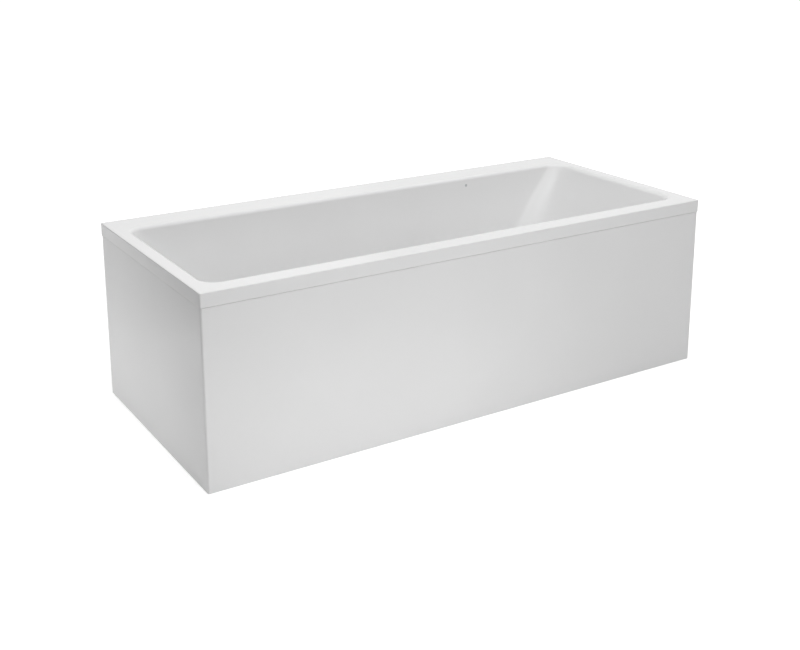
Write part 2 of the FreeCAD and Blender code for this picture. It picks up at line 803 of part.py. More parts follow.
def foot(number, across, along):
    """A pad with its stud, and the two nuts that set its height."""
    middle = number == 5
    name = f"foot_{number}"
    stud = rod(
        name + "_stud",
        "dims.studRadius",
        f"{boardUnder} + {'0' if middle else 'dims.studRise'} - (dims.padHeight - dims.padSocket)",
        (across, along, "dims.padHeight - dims.padSocket"),
    )
    keep(stud, f"foot_stud_{number}")

    profile = [
        (0, 0),
        ("dims.padRadius", 0),
        ("dims.padRadius", "dims.padHeight / 3"),
        ("dims.studRadius * 2", "dims.padHeight * 2 / 3"),
        ("dims.studRadius * 2", "dims.padHeight"),
        ("dims.studRadius", "dims.padHeight"),
        ("dims.studRadius", "dims.padHeight - dims.padSocket"),
        (0, "dims.padHeight - dims.padSocket"),
    ]
    keep(turnedBody(name + "_pad", profile, (across, along, 0)), f"foot_pad_{number}")

    lower = f"{barUnderWeb} - dims.nutHeight"
    upper = f"{lower} - dims.nutHeight" if middle else boardUnder
    members = []
    for side, height in (("lower", lower), ("upper", upper)):
        blank = hexagon(f"{name}_{side}_hex", "dims.nutFlats", "dims.nutHeight", (across, along, height))
        bore = rod(
            f"{name}_{side}_bore",
            "dims.studRadius + dims.studRunning",
            "dims.nutHeight",
            (across, along, height),
        )
        members.append(cut(f"{name}_{side}_nut", blank, bore))
    keep(group(name + "_nuts", members), f"foot_nuts_{number}")


# ---------------------------------------------------------------- brackets on the wall sides


def wallBracket(label, corner, angle):
    """A cranked strip, in its own frame: +Y to the wall, its top against the batten at height 0."""
    inside = "(dims.shellWall + dims.battenGap)"
    inner = f"-({inside} + dims.bracketSteel)"
    out = "(dims.rimEdge - dims.shellWall - dims.battenHeight + dims.bracketSteel)"
    profile = [
        ("-dims.battenBack / 2", 0),
        ("-dims.battenBack / 2", "-dims.bracketSteel"),
        (inner, "-dims.bracketSteel"),
        (inner, f"-{out} - dims.bracketSteel"),
        ("-dims.bracketSteel", f"-{out} - dims.bracketSteel"),
        ("-dims.bracketSteel", "-dims.bracketDrop"),
        (0, "-dims.bracketDrop"),
        (0, f"-{out}"),
        (f"-{inside}", f"-{out}"),
        (f"-{inside}", 0),
    ]
    body = newBody(label + "_body", corner, (0, 0, 1), angle)
    side = outline(newSketch(body, label + "_side", "YZ_Plane"), profile)
    pad(body, side, "dims.bracketWidth", midplane=True)
    return body


def drilledBracket(label, corner, angle, fixings):
    body = wallBracket(label, corner, angle)
    middle = "-(dims.bracketDrop - dims.wallHoleSpacing / 2 - 3 * dims.wallHoleRadius)"
    face = newSketch(body, label + "_wall_holes", "XZ_Plane")
    for side in ("-", "+"):
        circle(face, "dims.wallHoleRadius", 0, f"{middle} {side} dims.wallHoleSpacing / 2")
    pocket(body, face, "3 * dims.bracketSteel", midplane=True)
    top = newSketch(body, label + "_batten_holes", "XY_Plane")
    for spot in fixings:
        circle(top, "dims.screwRadius", *spot)
    pocket(body, top, "3 * dims.bracketSteel", midplane=True)
    keep(body, label)


bracketGrip = "(dims.battenBack / 2 - 2 * dims.screwHeadRadius)"
headGrip = "(dims.shellWall + dims.battenGap + dims.battenEnd / 2)"


def wallBracketScrews():
    depth = f"{halfWidth} - {bracketGrip}"
    return [
        (f"{side}{bracketPlace} {across} dims.bracketWidth / 4", depth, battenUnder)
        for side in ("-", "")
        for across in ("-", "+")
    ]


def headBracketScrews():
    depth = f"{half} - {headGrip}"
    return [(depth, f"{basinMiddle} {side} dims.bracketWidth / 4", battenUnder) for side in ("-", "+")]


def wallBrackets():
    across = [f"{side}dims.bracketWidth / 4" for side in ("-", "")]
    for name, side in (("foot", "-"), ("head", "")):
        drilledBracket(
            f"wall_bracket_{name}",
            (f"{side}{bracketPlace}", halfWidth, battenUnder),
            0,
            [(spot, f"-{bracketGrip}") for spot in across],
        )
    drilledBracket(
        "wall_bracket_end",
        (half, basinMiddle, battenUnder),
        -90,
        [(spot, f"-{headGrip}") for spot in across],
    )


# ---------------------------------------------------------------- the panel and what holds it


def panel():
    body = newBody("panel_sheet")
    outerX = f"({half} - dims.panelSetback)"
    outerY = f"({halfWidth} - dims.panelSetback)"
    whole = rectangle(newSketch(body, "panel_plan"), f"-{outerX}", outerX, f"-{outerY}", outerY)
    slab = pad(body, whole, panelTop)
    roundOff(body, slab, upwardEdge, "dims.panelCorner")
    walls = (f"-{panelInsideX}", panelInsideX, f"-{panelInsideY}", panelInsideY)
    inside = rectangle(newSketch(body, "panel_inside"), *walls)
    pocket(body, inside, f"{panelTop} - dims.panelWall", reverse=True)
    lipX = f"({outerX} - dims.panelReturn)"
    lipY = f"({outerY} - dims.panelReturn)"
    beyond = f"({half} + dims.panelReturn)"
    away = rectangle(newSketch(body, "panel_lip"), f"-{lipX}", lipX, f"-{lipY}", beyond)
    pocket(body, away, midplane=True)
    headSide = rectangle(newSketch(body, "panel_head_side"), f"-{lipX}", beyond, f"-{lipY}", beyond)
    pocket(body, headSide, midplane=True)
    keep(body, "l_panel")


def stiffeners():
    low = "dims.stiffenerBottom"
    frontLength = "(dims.bathLength - 2 * dims.stiffenerInset)"
    endLength = "(dims.bathWidth - 2 * dims.stiffenerInset)"
    front = block(
        "stiffener_front",
        (frontLength, "dims.stiffenerThickness", "dims.stiffenerHeight"),
        (f"-{frontLength} / 2", f"-{panelInsideY}", low),
    )
    keep(front, "panel_stiffener_front")
    end = block(
        "stiffener_end",
        ("dims.stiffenerThickness", endLength, "dims.stiffenerHeight"),
        (f"-{panelInsideX}", f"-{endLength} / 2", low),
    )
    keep(end, "panel_stiffener_end")


catchReachOut = f"({half} - dims.catchFrontInset)"
frontCatchPlaces = [f"-{catchReachOut}", "0", catchReachOut]
endCatchPlaces = [f"{basinMiddle} {side} ({halfWidth} - dims.catchEndInset)" for side in ("-", "+")]
magnetCentre = f"({panelTop} - dims.magnetDrop)"
catchFaceX = f"({panelInsideX} - dims.strikeThickness - dims.magnetHeight)"
catchFaceY = f"({panelInsideY} - dims.strikeThickness - dims.magnetHeight)"
catchGrip = "(dims.bracketSteel + dims.screwHeadRadius + dims.screwClear)"


def frontCatchScrews():
    return [(along, f"-{catchFaceY} + {catchGrip}", battenUnder) for along in frontCatchPlaces]


def endCatchScrews():
    return [(f"-{catchFaceX} + {catchGrip}", across, battenUnder) for across in endCatchPlaces]


def catchBracket(name, corner, angle):
    """An angle in its own frame: +Y into the bath, its magnet face at 0 and its top against the batten."""
    low = f"{magnetCentre} - {battenUnder} - dims.magnetRadius - dims.magnetMargin"
    profile = [
        (0, 0),
        ("dims.catchReach", 0),
        ("dims.catchReach", "-dims.bracketSteel"),
        ("dims.bracketSteel", "-dims.bracketSteel"),
        ("dims.bracketSteel", low),
        (0, low),
    ]
    body = newBody(name, corner, (0, 0, 1), angle)
    side = outline(newSketch(body, name + "_side", "YZ_Plane"), profile)
    pad(body, side, "dims.catchWidth", midplane=True)
    hole = circle(newSketch(body, name + "_hole"), "dims.screwRadius", 0, catchGrip)
    pocket(body, hole, "3 * dims.bracketSteel", midplane=True)
    return body


def catches():
    frames = [(along, f"-{catchFaceY}", 0, towardsY) for along in frontCatchPlaces]
    frames += [(f"-{catchFaceX}", across, -90, towardsX) for across in endCatchPlaces]
    brackets = []
    magnets = []
    strikes = []
    for number, (across, along, angle, facing) in enumerate(frames, start=1):
        brackets.append(catchBracket(f"catch_{number}", (across, along, battenUnder), angle))
        spot = (across, along, magnetCentre)
        magnets.append(rod(f"magnet_{number}", "dims.magnetRadius", "dims.magnetHeight", spot, *facing))
        thick = "dims.strikeThickness"
        wide = "dims.strikeSize"
        if angle:
            size = (thick, wide, wide)
            corner = (f"-{panelInsideX}", f"{along} - {wide} / 2", f"{magnetCentre} - {wide} / 2")
        else:
            size = (wide, thick, wide)
            corner = (f"{across} - {wide} / 2", f"-{panelInsideY}", f"{magnetCentre} - {wide} / 2")
        strikes.append(block(f"strike_{number}", size, corner))
    keep(group("catch_set_front", brackets[:3]), "catch_brackets_front")
    keep(group("catch_set_end", brackets[3:]), "catch_brackets_end")
    keep(group("magnet_set", magnets), "catch_magnets")
    keep(group("strike_set", strikes), "strike_plates")


def battenScrews():
    """The screws below the battens, each with its head under its bracket."""
    under = f"{battenUnder} - dims.bracketSteel"
    places = wallBracketScrews() + headBracketScrews() + frontCatchScrews() + endCatchScrews()
    heads = [(across, along, under) for across, along, _ in places]
    keep(group("batten_screw_set", screws("batten", heads)), "bracket_screws")


def floorRail(label, corner, angle):
    """An angle on the floor in its own frame: +Y into the bath, its upright leg against the panel."""
    profile = [
        (0, 0),
        ("dims.railSize", 0),
        ("dims.railSize", "dims.railWall"),
        ("dims.railWall", "dims.railWall"),
        ("dims.railWall", "dims.railSize"),
        (0, "dims.railSize"),
    ]
    body = newBody(label + "_body", corner, (0, 0, 1), angle)
    side = outline(newSketch(body, label + "_side", "YZ_Plane"), profile)
    pad(body, side, "dims.railLength", midplane=True)
    fixings = newSketch(body, label + "_holes")
    for side in ("-", ""):
        across = f"{side}dims.railHoleSpacing / 2"
        circle(fixings, "dims.railHoleRadius", across, "(dims.railSize + dims.railWall) / 2")
    pocket(body, fixings, "3 * dims.railWall", midplane=True)
    keep(body, label)


def floorRails():
    for name, side in (("foot", "-"), ("head", "")):
        corner = (f"{side}({half} - dims.railInset)", f"-{panelInsideY} + dims.railGap", 0)
        floorRail(f"floor_rail_{name}", corner, 0)
    floorRail("floor_rail_end", (f"-{panelInsideX} + dims.railGap", basinMiddle, 0), -90)


# ---------------------------------------------------------------- waste, plug and trap

tailRadius = "(dims.wasteHoleRadius - dims.fittingGap)"
flangeRadius = "(dims.wasteHoleRadius + dims.flangeLap)"
flangeThroat = f"({tailRadius} - dims.flangeWall)"
plugRadius = "(dims.wasteHoleRadius + dims.plugLap)"
cupRadius = "(dims.wasteHoleRadius + dims.cupClearance + dims.cupWall)"
cupFlangeRadius = f"({cupRadius} + dims.cupFlange)"
pipeBore = "(dims.pipeRadius - dims.pipeWall)"
spoutRadius = f"({pipeBore} - dims.spoutFit)"
pipeNutRadius = "(dims.pipeRadius + dims.pipeNutWall)"
hoseNeckRadius = "(dims.hoseBore - dims.hoseFit)"
hoseNeckBore = f"({hoseNeckRadius} - dims.hoseNeckWall)"
hoseNutRadius = "(dims.hoseRadius + dims.hoseNutWall)"
cableBore = "(dims.cableRadius + dims.cableGap)"
glandRadius = "(dims.cableRadius + dims.glandWall)"

# Heights in the waste's own frame, whose 0 is the basin floor.
flangeTop = "(dims.sealThickness + dims.flangeThickness)"
cupTop = "(-dims.shellWall - dims.sealThickness)"
cupBottom = f"({cupTop} - dims.cupHeight)"
spoutEnd = f"({cupBottom} - dims.spoutLength)"
guideTop = "(-dims.flangeTail / 2)"
hoseLevel = f"({cupTop} - dims.neckLevel)"


def wasteFlange():
    """The chromed ring in the basin floor, with three spokes that guide the plug's stem."""
    body = newBody("waste_flange_body", wasteFrame)
    profile = [
        (flangeThroat, "-dims.flangeTail"),
        (tailRadius, "-dims.flangeTail"),
        (tailRadius, "dims.sealThickness"),
        (flangeRadius, "dims.sealThickness"),
        (flangeRadius, f"{flangeTop} - dims.flangeThickness / 2"),
        (f"{flangeRadius} - dims.flangeThickness", flangeTop),
        (tailRadius, flangeTop),
        (flangeThroat, "0"),
    ]
    turned(body, outline(newSketch(body, "waste_flange_profile", "XZ_Plane"), profile))
    spoke = rectangle(
        newSketch(body, "waste_spoke", height=f"{guideTop} - dims.guideHeight"),
        "0",
        f"({tailRadius} + {flangeThroat}) / 2",
        "-dims.spokeWidth / 2",
        "dims.spokeWidth / 2",
    )
    arm = pad(body, spoke, "dims.guideHeight")
    spokes = body.newObject("PartDesign::PolarPattern", "waste_spokes")
    spokes.Originals = [arm]
    spokes.Axis = (originAxis(body), [""])
    spokes.Angle = 360
    spokes.Occurrences = 3
    body.Tip = spokes
    doc.recompute()
    hub = newSketch(body, "waste_boss", height=f"{guideTop} - dims.guideHeight")
    boss = circle(hub, "dims.stemRadius + dims.guideWall")
    pad(body, boss, "dims.guideHeight")
    guide = circle(newSketch(body, "waste_guide", height=guideTop), "dims.stemRadius + dims.stemRunning")
    pocket(body, guide, f"2 * dims.guideHeight", midplane=True)
    keep(body, "waste_flange")


def wasteSeals():
    hole = "dims.wasteHoleRadius"
    seals = [("upper", flangeRadius, "0"), ("lower", cupFlangeRadius, cupTop)]
    for name, flange, bottom in seals:
        outer = f"{flange} - dims.sealInset"
        seal = ring(f"{name}_seal", outer, hole, bottom, "dims.sealThickness", wasteFrame)
        keep(seal, f"waste_seal_{name}")


def popUpPlug():
    capBottom = f"({flangeTop} + dims.plugSealThickness)"
    capTop = f"({capBottom} + dims.plugHeight)"
    stemBottom = f"({guideTop} - dims.guideHeight - dims.plugLift - dims.stemSpare)"
    profile = [
        (0, stemBottom),
        ("dims.stemRadius", stemBottom),
        ("dims.stemRadius", capBottom),
        (plugRadius, capBottom),
        (plugRadius, capTop),
        (0, capTop),
    ]
    body = turnedBody("plug", profile, wasteFrame)
    roundOff(body, body.Tip, levelEdge(reading(capTop)), "dims.plugRound")
    keep(body, "popup_plug")
    outer = f"({tailRadius} + {plugRadius}) / 2"
    inner = f"{flangeThroat} - dims.guideWall"
    keep(ring("plug_gasket", outer, inner, flangeTop, "dims.plugSealThickness", wasteFrame), "plug_seal")


def wasteBody():
    """The cup under the floor: the overflow hose joins its side and the trap its spout."""
    inner = f"{cupRadius} - dims.cupWall"
    spoutInner = f"{spoutRadius} - dims.spoutWall"
    profile = [
        (spoutInner, spoutEnd),
        (spoutRadius, spoutEnd),
        (spoutRadius, cupBottom),
        (cupRadius, f"{cupBottom} + dims.cupWall"),
        (cupRadius, f"{cupTop} - dims.cupWall"),
        (cupFlangeRadius, f"{cupTop} - dims.cupWall"),
        (cupFlangeRadius, cupTop),
        (inner, cupTop),
        (inner, f"{cupBottom} + 2 * dims.cupWall"),
        (spoutInner, f"{cupBottom} + dims.cupWall"),
    ]
    body = newBody("waste_body_cup", wasteFrame)
    turned(body, outline(newSketch(body, "waste_body_profile", "XZ_Plane"), profile))
    necks = [
        ("waste_hose_neck", "0", hoseNeckRadius, hoseNeckBore, "dims.hoseNeckLength"),
        ("waste_cable_neck", "dims.cableAside", glandRadius, cableBore, "dims.glandLength"),
    ]
    for neck in necks:
        sideNeck(body, "-", cupRadius, "dims.cupWall", hoseLevel, *neck)
    keep(body, "waste_body")


def sideNeck(body, direction, cup, wall, level, name, aside, radius, bore, length):
    """A hollow neck on the side of a round cup, square to the cup's axis, towards +X or -X."""
    root = f"sqrt(({cup} - {wall} / 2) ^ 2 - ({aside} + {radius}) ^ 2)"
    reach = f"({cup} + {length} - {root})"
    away = direction == "-"
    outer = circle(newSketch(body, name, "YZ_Plane", f"{direction}{root}"), radius, aside, level)
    pad(body, outer, reach, reverse=away)
    mouth = newSketch(body, name + "_bore", "YZ_Plane", f"{direction}({root} + {reach})")
    pocket(body, circle(mouth, bore, aside, level), f"{reach} + {wall}", reverse=away)


def route(sketch, runs, bends):
    """Straight runs, each from one point to another, joined by tangent arcs of the given radii."""
    lines = []
    for start, finish in runs:
        first = FreeCAD.Vector(reading(start[0]), reading(start[1]), 0)
        last = FreeCAD.Vector(reading(finish[0]), reading(finish[1]), 0)
        index = sketch.addGeometry(Part.LineSegment(first, last))
        pin(sketch, index, 1, *start)
        pin(sketch, index, 2, *finish)
        lines.append((index, first, last))
    for (before, first, corner), (after, restart, _), radius in zip(lines, lines[1:], bends):
        along = (corner - first).normalize()
        aside = FreeCAD.Vector(-along.y, along.x, 0)
        leftward = aside.dot(restart - corner) > 0
        size = reading(radius)
        centre = corner + aside * (size if leftward else -size)
        ends = [corner, restart] if leftward else [restart, corner]
        angles = [math.atan2((end - centre).y, (end - centre).x) for end in ends]
        if angles[1] < angles[0]:
            angles[1] += 2 * math.pi
        full = Part.Circle(centre, FreeCAD.Vector(0, 0, 1), size)
        arc = sketch.addGeometry(Part.ArcOfCircle(full, *angles))
        sketch.addConstraint(Sketcher.Constraint("Tangent", before, 2, arc, 1 if leftward else 2))
        sketch.addConstraint(Sketcher.Constraint("Coincident", after, 1, arc, 2 if leftward else 1))
    return sketch


def tube(body, name, path, outer, bore, start, tilt=None):
    """Sweeps a ring along a route: the profile lies at the start, square to the first run."""
    for kind, radius in (("Additive", outer), ("Subtractive", bore)):
        if radius is None:
            continue
        profile = newSketch(body, f"{name}_{kind}")
        if tilt:
            rotation = FreeCAD.Rotation(FreeCAD.Vector(0, 1, 0), 0)
            profile.AttachmentOffset = FreeCAD.Placement(FreeCAD.Vector(), rotation)
            profile.setExpression("AttachmentOffset.Rotation.Angle", tilt)
        for direction, where in zip("xyz", start):
            profile.setExpression(f"AttachmentOffset.Base.{direction}", str(where))
        circle(profile, radius)
        sweep = body.newObject(f"PartDesign::{kind}Pipe", f"{name}_{kind}_sweep")
        sweep.Profile = profile
        sweep.Spine = (path, [])
        doc.recompute()
    return body


trapTop = f"({floorTop} + {spoutEnd} + dims.spoutOverlap)"
trapLow = f"({trapTop} - dims.trapInlet)"
trapLevel = f"({trapLow} + dims.trapRise + dims.trapBend)"
trapEnd = "(3 * dims.trapBend + dims.trapOutlet)"


def trap():
    """A P-trap: down from the waste, round under, up and away towards the wall."""
    body = newBody("trap_tube", (wasteX, basinMiddle, 0))
    rise = "2 * dims.trapBend"
    runs = [
        (("0", trapTop), ("0", trapLow)),
        ((rise, trapLow), (rise, f"{trapLow} + dims.trapRise")),
        (("3 * dims.trapBend", trapLevel), (trapEnd, trapLevel)),
    ]
    path = route(newSketch(body, "trap_route", "YZ_Plane"), runs, ["dims.trapBend", "dims.trapBend"])
    keep(tube(body, "trap", path, "dims.pipeRadius", pipeBore, (0, 0, trapTop)), "trap")

    grip = "(dims.pipeRadius + dims.threadGap)"
    lip = f"({spoutRadius} + dims.threadGap)"
    above = f"{trapTop} + dims.pipeNutHeight / 3"
    below = f"{trapTop} - dims.pipeNutHeight * 2 / 3"
    profile = [
        (lip, above),
        (lip, trapTop),
        (grip, trapTop),
        (grip, below),
        (pipeNutRadius, below),
        (pipeNutRadius, above),
    ]
    keep(turnedBody("inlet_nut", profile, (wasteX, basinMiddle, 0)), "trap_inlet_nut")

    joint = (wasteX, f"{basinMiddle} + {trapEnd}", trapLevel)
    start = "-dims.pipeNutHeight / 2"
    nut = ring("outlet_nut", pipeNutRadius, grip, start, "dims.pipeNutHeight", joint, *alongY)
    keep(nut, "trap_outlet_nut")
    length = f"({halfWidth} - dims.pipeEnd - {basinMiddle} - {trapEnd})"
    spigot = "(dims.pipeRadius - dims.spigotStep)"
    shoulder = "(dims.pipeNutHeight / 2 + dims.spigotReach)"
    profile = [
        (pipeBore, "0"),
        (spigot, "0"),
        (spigot, shoulder),
        ("dims.pipeRadius", shoulder),
        ("dims.pipeRadius", length),
        (pipeBore, length),
    ]
    keep(turnedBody("outlet", profile, joint, *alongY), "outlet_pipe")


# ---------------------------------------------------------------- overflow

# The overflow's own frame: 0 on the inside of the foot wall, +Z into the basin, +X down the wall.
sealBack = "(-dims.shellWall - dims.sealThickness)"
elbowBack = f"({sealBack} - dims.elbowDepth)"
neckDepth = f"({sealBack} - dims.neckSet)"
knobBack = "(dims.rosetteThickness + dims.knobGap)"
faceTailRadius = "(dims.overflowHoleRadius - dims.fittingGap)"
rosetteRadius = "(dims.overflowHoleRadius + dims.rosetteLap)"
rosetteBore = f"({faceTailRadius} - dims.rosetteWall)"
elbowBore = f"({faceTailRadius} + dims.threadGap)"
elbowRadius = f"({elbowBore} + dims.elbowWall)"
elbowFlange = "(dims.overflowHoleRadius + dims.elbowLap)"
knobFace = f"({knobBack} + dims.knobHeight)"
guideDepth = f"({elbowBack} + dims.elbowWall)"


def overflowFace():
    profile = [
        (rosetteBore, "-dims.rosetteTail"),
        (faceTailRadius, "-dims.rosetteTail"),
        (faceTailRadius, "0"),
        (rosetteRadius, "0"),
        (rosetteRadius, "dims.rosetteThickness / 2"),
        (f"{rosetteRadius} - dims.rosetteThickness / 2", "dims.rosetteThickness"),
        (rosetteBore, "dims.rosetteThickness"),
    ]
    keep(turnedBody("face_ring", profile, overflowCentre, *overflowTurn), "overflow_face")
    seal = ring(
        "overflow_gasket",
        f"{elbowFlange} - dims.sealInset",
        "dims.overflowHoleRadius",
        sealBack,
        "dims.sealThickness",
        overflowCentre,
        *overflowTurn,
    )
    keep(seal, "overflow_seal")


def overflowKnob():
    """The knob with its spindle, and the drum on the spindle that winds the cable."""
    spindleEnd = f"({guideDepth} + dims.fittingGap)"
    profile = [
        ("0", spindleEnd),
        ("dims.spindleRadius", spindleEnd),
        ("dims.spindleRadius", knobBack),
        ("dims.knobRadius", knobBack),
        ("dims.knobRadius", knobFace),
        ("0", knobFace),
    ]
    body = turnedBody("knob", profile, overflowCentre, *overflowTurn)
    roundOff(body, body.Tip, levelEdge(reading(knobFace)), "dims.knobRound")
    bar = rectangle(
        newSketch(body, "knob_grip", height=knobFace),
        "-dims.knobGrip / 2",
        "dims.knobGrip / 2",
        "-dims.knobGripWidth / 2",
        "dims.knobGripWidth / 2",
    )
    grip = pad(body, bar, "dims.knobGripHeight")
    roundOff(body, grip, levelEdge(reading(f"{knobFace} + dims.knobGripHeight")), "dims.knobGripRound")
    keep(body, "overflow_knob")
    bottom = f"{neckDepth} + dims.drumThickness / 2"
    frame = (overflowCentre, *overflowTurn)
    drum = ring("drum", "dims.drumRadius", "dims.spindleRadius", bottom, "dims.drumThickness", *frame)
    keep(drum, "cable_drum")


def overflowBody():
    """The cup behind the foot wall, with a bearing for the spindle and necks for hose and cable."""
    bearing = "(dims.spindleRadius + dims.stemRunning)"
    hub = "(dims.spindleRadius + dims.elbowWall)"
    flangeBack = f"({sealBack} - dims.elbowWall)"
    profile = [
        (bearing, elbowBack),
        (elbowRadius, elbowBack),
        (elbowRadius, flangeBack),
        (elbowFlange, flangeBack),
        (elbowFlange, sealBack),
        (elbowBore, sealBack),
        (elbowBore, guideDepth),
        (hub, guideDepth),
        (hub, f"{guideDepth} + dims.elbowWall"),
        (bearing, f"{guideDepth} + dims.elbowWall"),
    ]
    body = turnedBody("overflow_cup", profile, overflowCentre, *overflowTurn)
    necks = [
        ("overflow_hose_neck", "0", hoseNeckRadius, hoseNeckBore, "dims.hoseNeckLength"),
        ("overflow_cable_neck", "dims.cableAside", glandRadius, cableBore, "dims.glandLength"),
    ]
    for neck in necks:
        sideNeck(body, "", elbowRadius, "dims.elbowWall", neckDepth, *neck)
    keep(body, "overflow_body")


# The hose and the cable leave the overflow body down the wall, then bend level towards the waste body.
def wallPoint(down):
    """Where a point of the overflow's frame lies across and up the bath, on the necks' line."""
    angle = "dims.footWallAngle"
    across = f"({overflowCentre[0]} + {neckDepth} * cos({angle}) + ({down}) * sin({angle}))"
    up = f"({overflowCentre[2]} + {neckDepth} * sin({angle}) - ({down}) * cos({angle}))"
    return across, up


def wallRoute(body, name, startDown, endAcross):
    level = f"({floorTop} + {hoseLevel})"
    angle = "dims.footWallAngle"
    start = wallPoint(startDown)
    bendUp = f"({level} + dims.hoseBend * (1 - sin({angle})))"
    bendAcross = f"({start[0]} + ({start[1]} - {bendUp}) * tan({angle}))"
    runs = [
        (start, (bendAcross, bendUp)),
        ((f"({bendAcross} + dims.hoseBend * cos({angle}))", level), (endAcross, level)),
    ]
    return start, route(newSketch(body, name + "_route", "XZ_Plane"), runs, ["dims.hoseBend"])


def hoseAndCable():
    tilt = "-dims.footWallAngle"
    hose = newBody("hose", (0, basinMiddle, 0))
    ends = (f"({elbowRadius} + dims.hoseStop)", f"({wasteX} - {cupRadius} - dims.hoseStop)")
    start, path = wallRoute(hose, "hose", *ends)
    tube(hose, "hose", path, "dims.hoseRadius", "dims.hoseBore", (start[0], 0, start[1]), tilt)
    keep(hose, "overflow_hose")

    cable = newBody("cable", (0, f"{basinMiddle} + dims.cableAside", 0))
    ends = (f"({elbowRadius} + dims.cableStop)", f"({wasteX} - {cupRadius} - dims.cableStop)")
    start, path = wallRoute(cable, "cable", *ends)
    tube(cable, "cable", path, "dims.cableRadius", None, (start[0], 0, start[1]), tilt)
    keep(cable, "control_cable")

    grip = "(dims.hoseRadius + dims.threadGap)"
    across, up = wallPoint("0")
    frames = [
        ("upper", elbowRadius, (across, basinMiddle, up), ((0, 1, 0), "180 - dims.footWallAngle")),
        ("lower", cupRadius, (wasteX, basinMiddle, f"{floorTop} + {hoseLevel}"), towardsX),
    ]
    for name, cup, centre, turn in frames:
        start = f"({cup} + dims.hoseNutGap)"
        nut = ring(f"{name}_nut", hoseNutRadius, grip, start, "dims.hoseNutHeight", centre, *turn)
        keep(nut, f"hose_nut_{name}")


# ---------------------------------------------------------------- building

bathShell()
blankingCap()
baseBoard()
battens()
for end, along in barPlaces.items():
    cradleBar(end, along)
middlePlate()
cradleScrews()
for number, (across, along) in enumerate(footPlaces(), start=1):
    foot(number, across, along)
wallBrackets()
panel()
stiffeners()
catches()
battenScrews()
floorRails()
wasteFlange()
wasteSeals()
popUpPlug()
wasteBody()
trap()
overflowFace()
overflowKnob()
overflowBody()
hoseAndCable()

doc.recompute()
for item in doc.Objects:
    if "Invalid" in item.State or "Error" in item.State:
        raise RuntimeError(f"{item.Name} did not build: {item.State}")
os.makedirs("parts", exist_ok=True)
for piece in finished:
    shape = piece.Shape
    if shape.isNull() or not shape.isValid():
        raise RuntimeError(f"{piece.Label} has no valid shape")
    shape.exportStep(f"parts/{piece.Label}.step")
    box = shape.BoundBox
    low = f"{box.XMin:.1f} {box.YMin:.1f} {box.ZMin:.1f}"
    high = f"{box.XMax:.1f} {box.YMax:.1f} {box.ZMax:.1f}"
    print(f"{piece.Label}: {len(shape.Solids)} solids, {shape.Volume / 1000:.1f} cm3, {low} to {high}")
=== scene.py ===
import math

import bmesh
import bpy
from mathutils import Matrix, Vector, noise


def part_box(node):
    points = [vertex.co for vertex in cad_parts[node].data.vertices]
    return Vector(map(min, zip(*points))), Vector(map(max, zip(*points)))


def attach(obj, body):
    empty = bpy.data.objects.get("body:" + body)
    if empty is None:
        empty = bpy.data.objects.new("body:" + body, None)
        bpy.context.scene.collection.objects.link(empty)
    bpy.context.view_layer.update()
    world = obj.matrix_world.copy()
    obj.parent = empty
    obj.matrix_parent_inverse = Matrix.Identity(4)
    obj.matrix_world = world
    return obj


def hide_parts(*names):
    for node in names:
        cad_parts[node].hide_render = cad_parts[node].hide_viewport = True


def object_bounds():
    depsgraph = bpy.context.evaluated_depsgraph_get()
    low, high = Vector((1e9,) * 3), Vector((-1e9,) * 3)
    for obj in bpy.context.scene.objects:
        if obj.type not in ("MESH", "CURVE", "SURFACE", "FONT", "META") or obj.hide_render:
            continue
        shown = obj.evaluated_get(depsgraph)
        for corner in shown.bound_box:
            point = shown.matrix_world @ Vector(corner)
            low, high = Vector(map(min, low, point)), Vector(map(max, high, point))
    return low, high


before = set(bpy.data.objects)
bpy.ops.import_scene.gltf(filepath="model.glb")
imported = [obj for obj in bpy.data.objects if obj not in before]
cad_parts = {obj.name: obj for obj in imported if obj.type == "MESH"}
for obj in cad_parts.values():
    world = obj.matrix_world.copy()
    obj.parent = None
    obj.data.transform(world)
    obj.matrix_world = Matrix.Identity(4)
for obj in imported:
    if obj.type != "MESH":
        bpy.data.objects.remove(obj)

# A white acrylic bathtub for the corner of a room, with its panel, cradle, feet, waste and overflow.
# Metres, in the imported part's own frame: +X to the sloped head end, -Y the panelled front, +Z up.

cadLow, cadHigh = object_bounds()
shellLow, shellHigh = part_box("bath_shell")
millimetre = 0.001
hardFrom = 35  # degrees: an edge bent more than this is shaded as a crease


def middleOf(node):
    low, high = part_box(node)
    return (low + high) / 2


def linearColour(hexText):
    channels = []
    for start in (0, 2, 4):
        value = int(hexText[start:start + 2], 16) / 255
        channels.append(value / 12.92 if value <= 0.04045 else ((value + 0.055) / 1.055) ** 2.4)
    return (*channels, 1)


def addNode(tree, kind, settings=None, inputs=None):
    # an input takes a plain value, a socket, a node by its first output, or a list of those
    node = tree.nodes.new(kind)
    for name, value in (settings or {}).items():
        setattr(node, name, value)
    for name, given in (inputs or {}).items():
        for value in given if isinstance(given, list) else [given]:
            if isinstance(value, bpy.types.Node):
                value = next(socket for socket in value.outputs if socket.enabled)
            if isinstance(value, bpy.types.NodeSocket):
                tree.links.new(value, node.inputs[name])
            else:
                node.inputs[name].default_value = value
    return node


def newMaterial(name):
    material = bpy.data.materials.new(name)
    material.use_nodes = True
    tree = material.node_tree
    tree.nodes.clear()
    return material, tree, addNode(tree, "ShaderNodeTexCoord").outputs["Object"]


def closeMaterial(tree, inputs):
    surface = addNode(tree, "ShaderNodeBsdfPrincipled", inputs=inputs)
    addNode(tree, "ShaderNodeOutputMaterial", inputs={"Surface": surface})


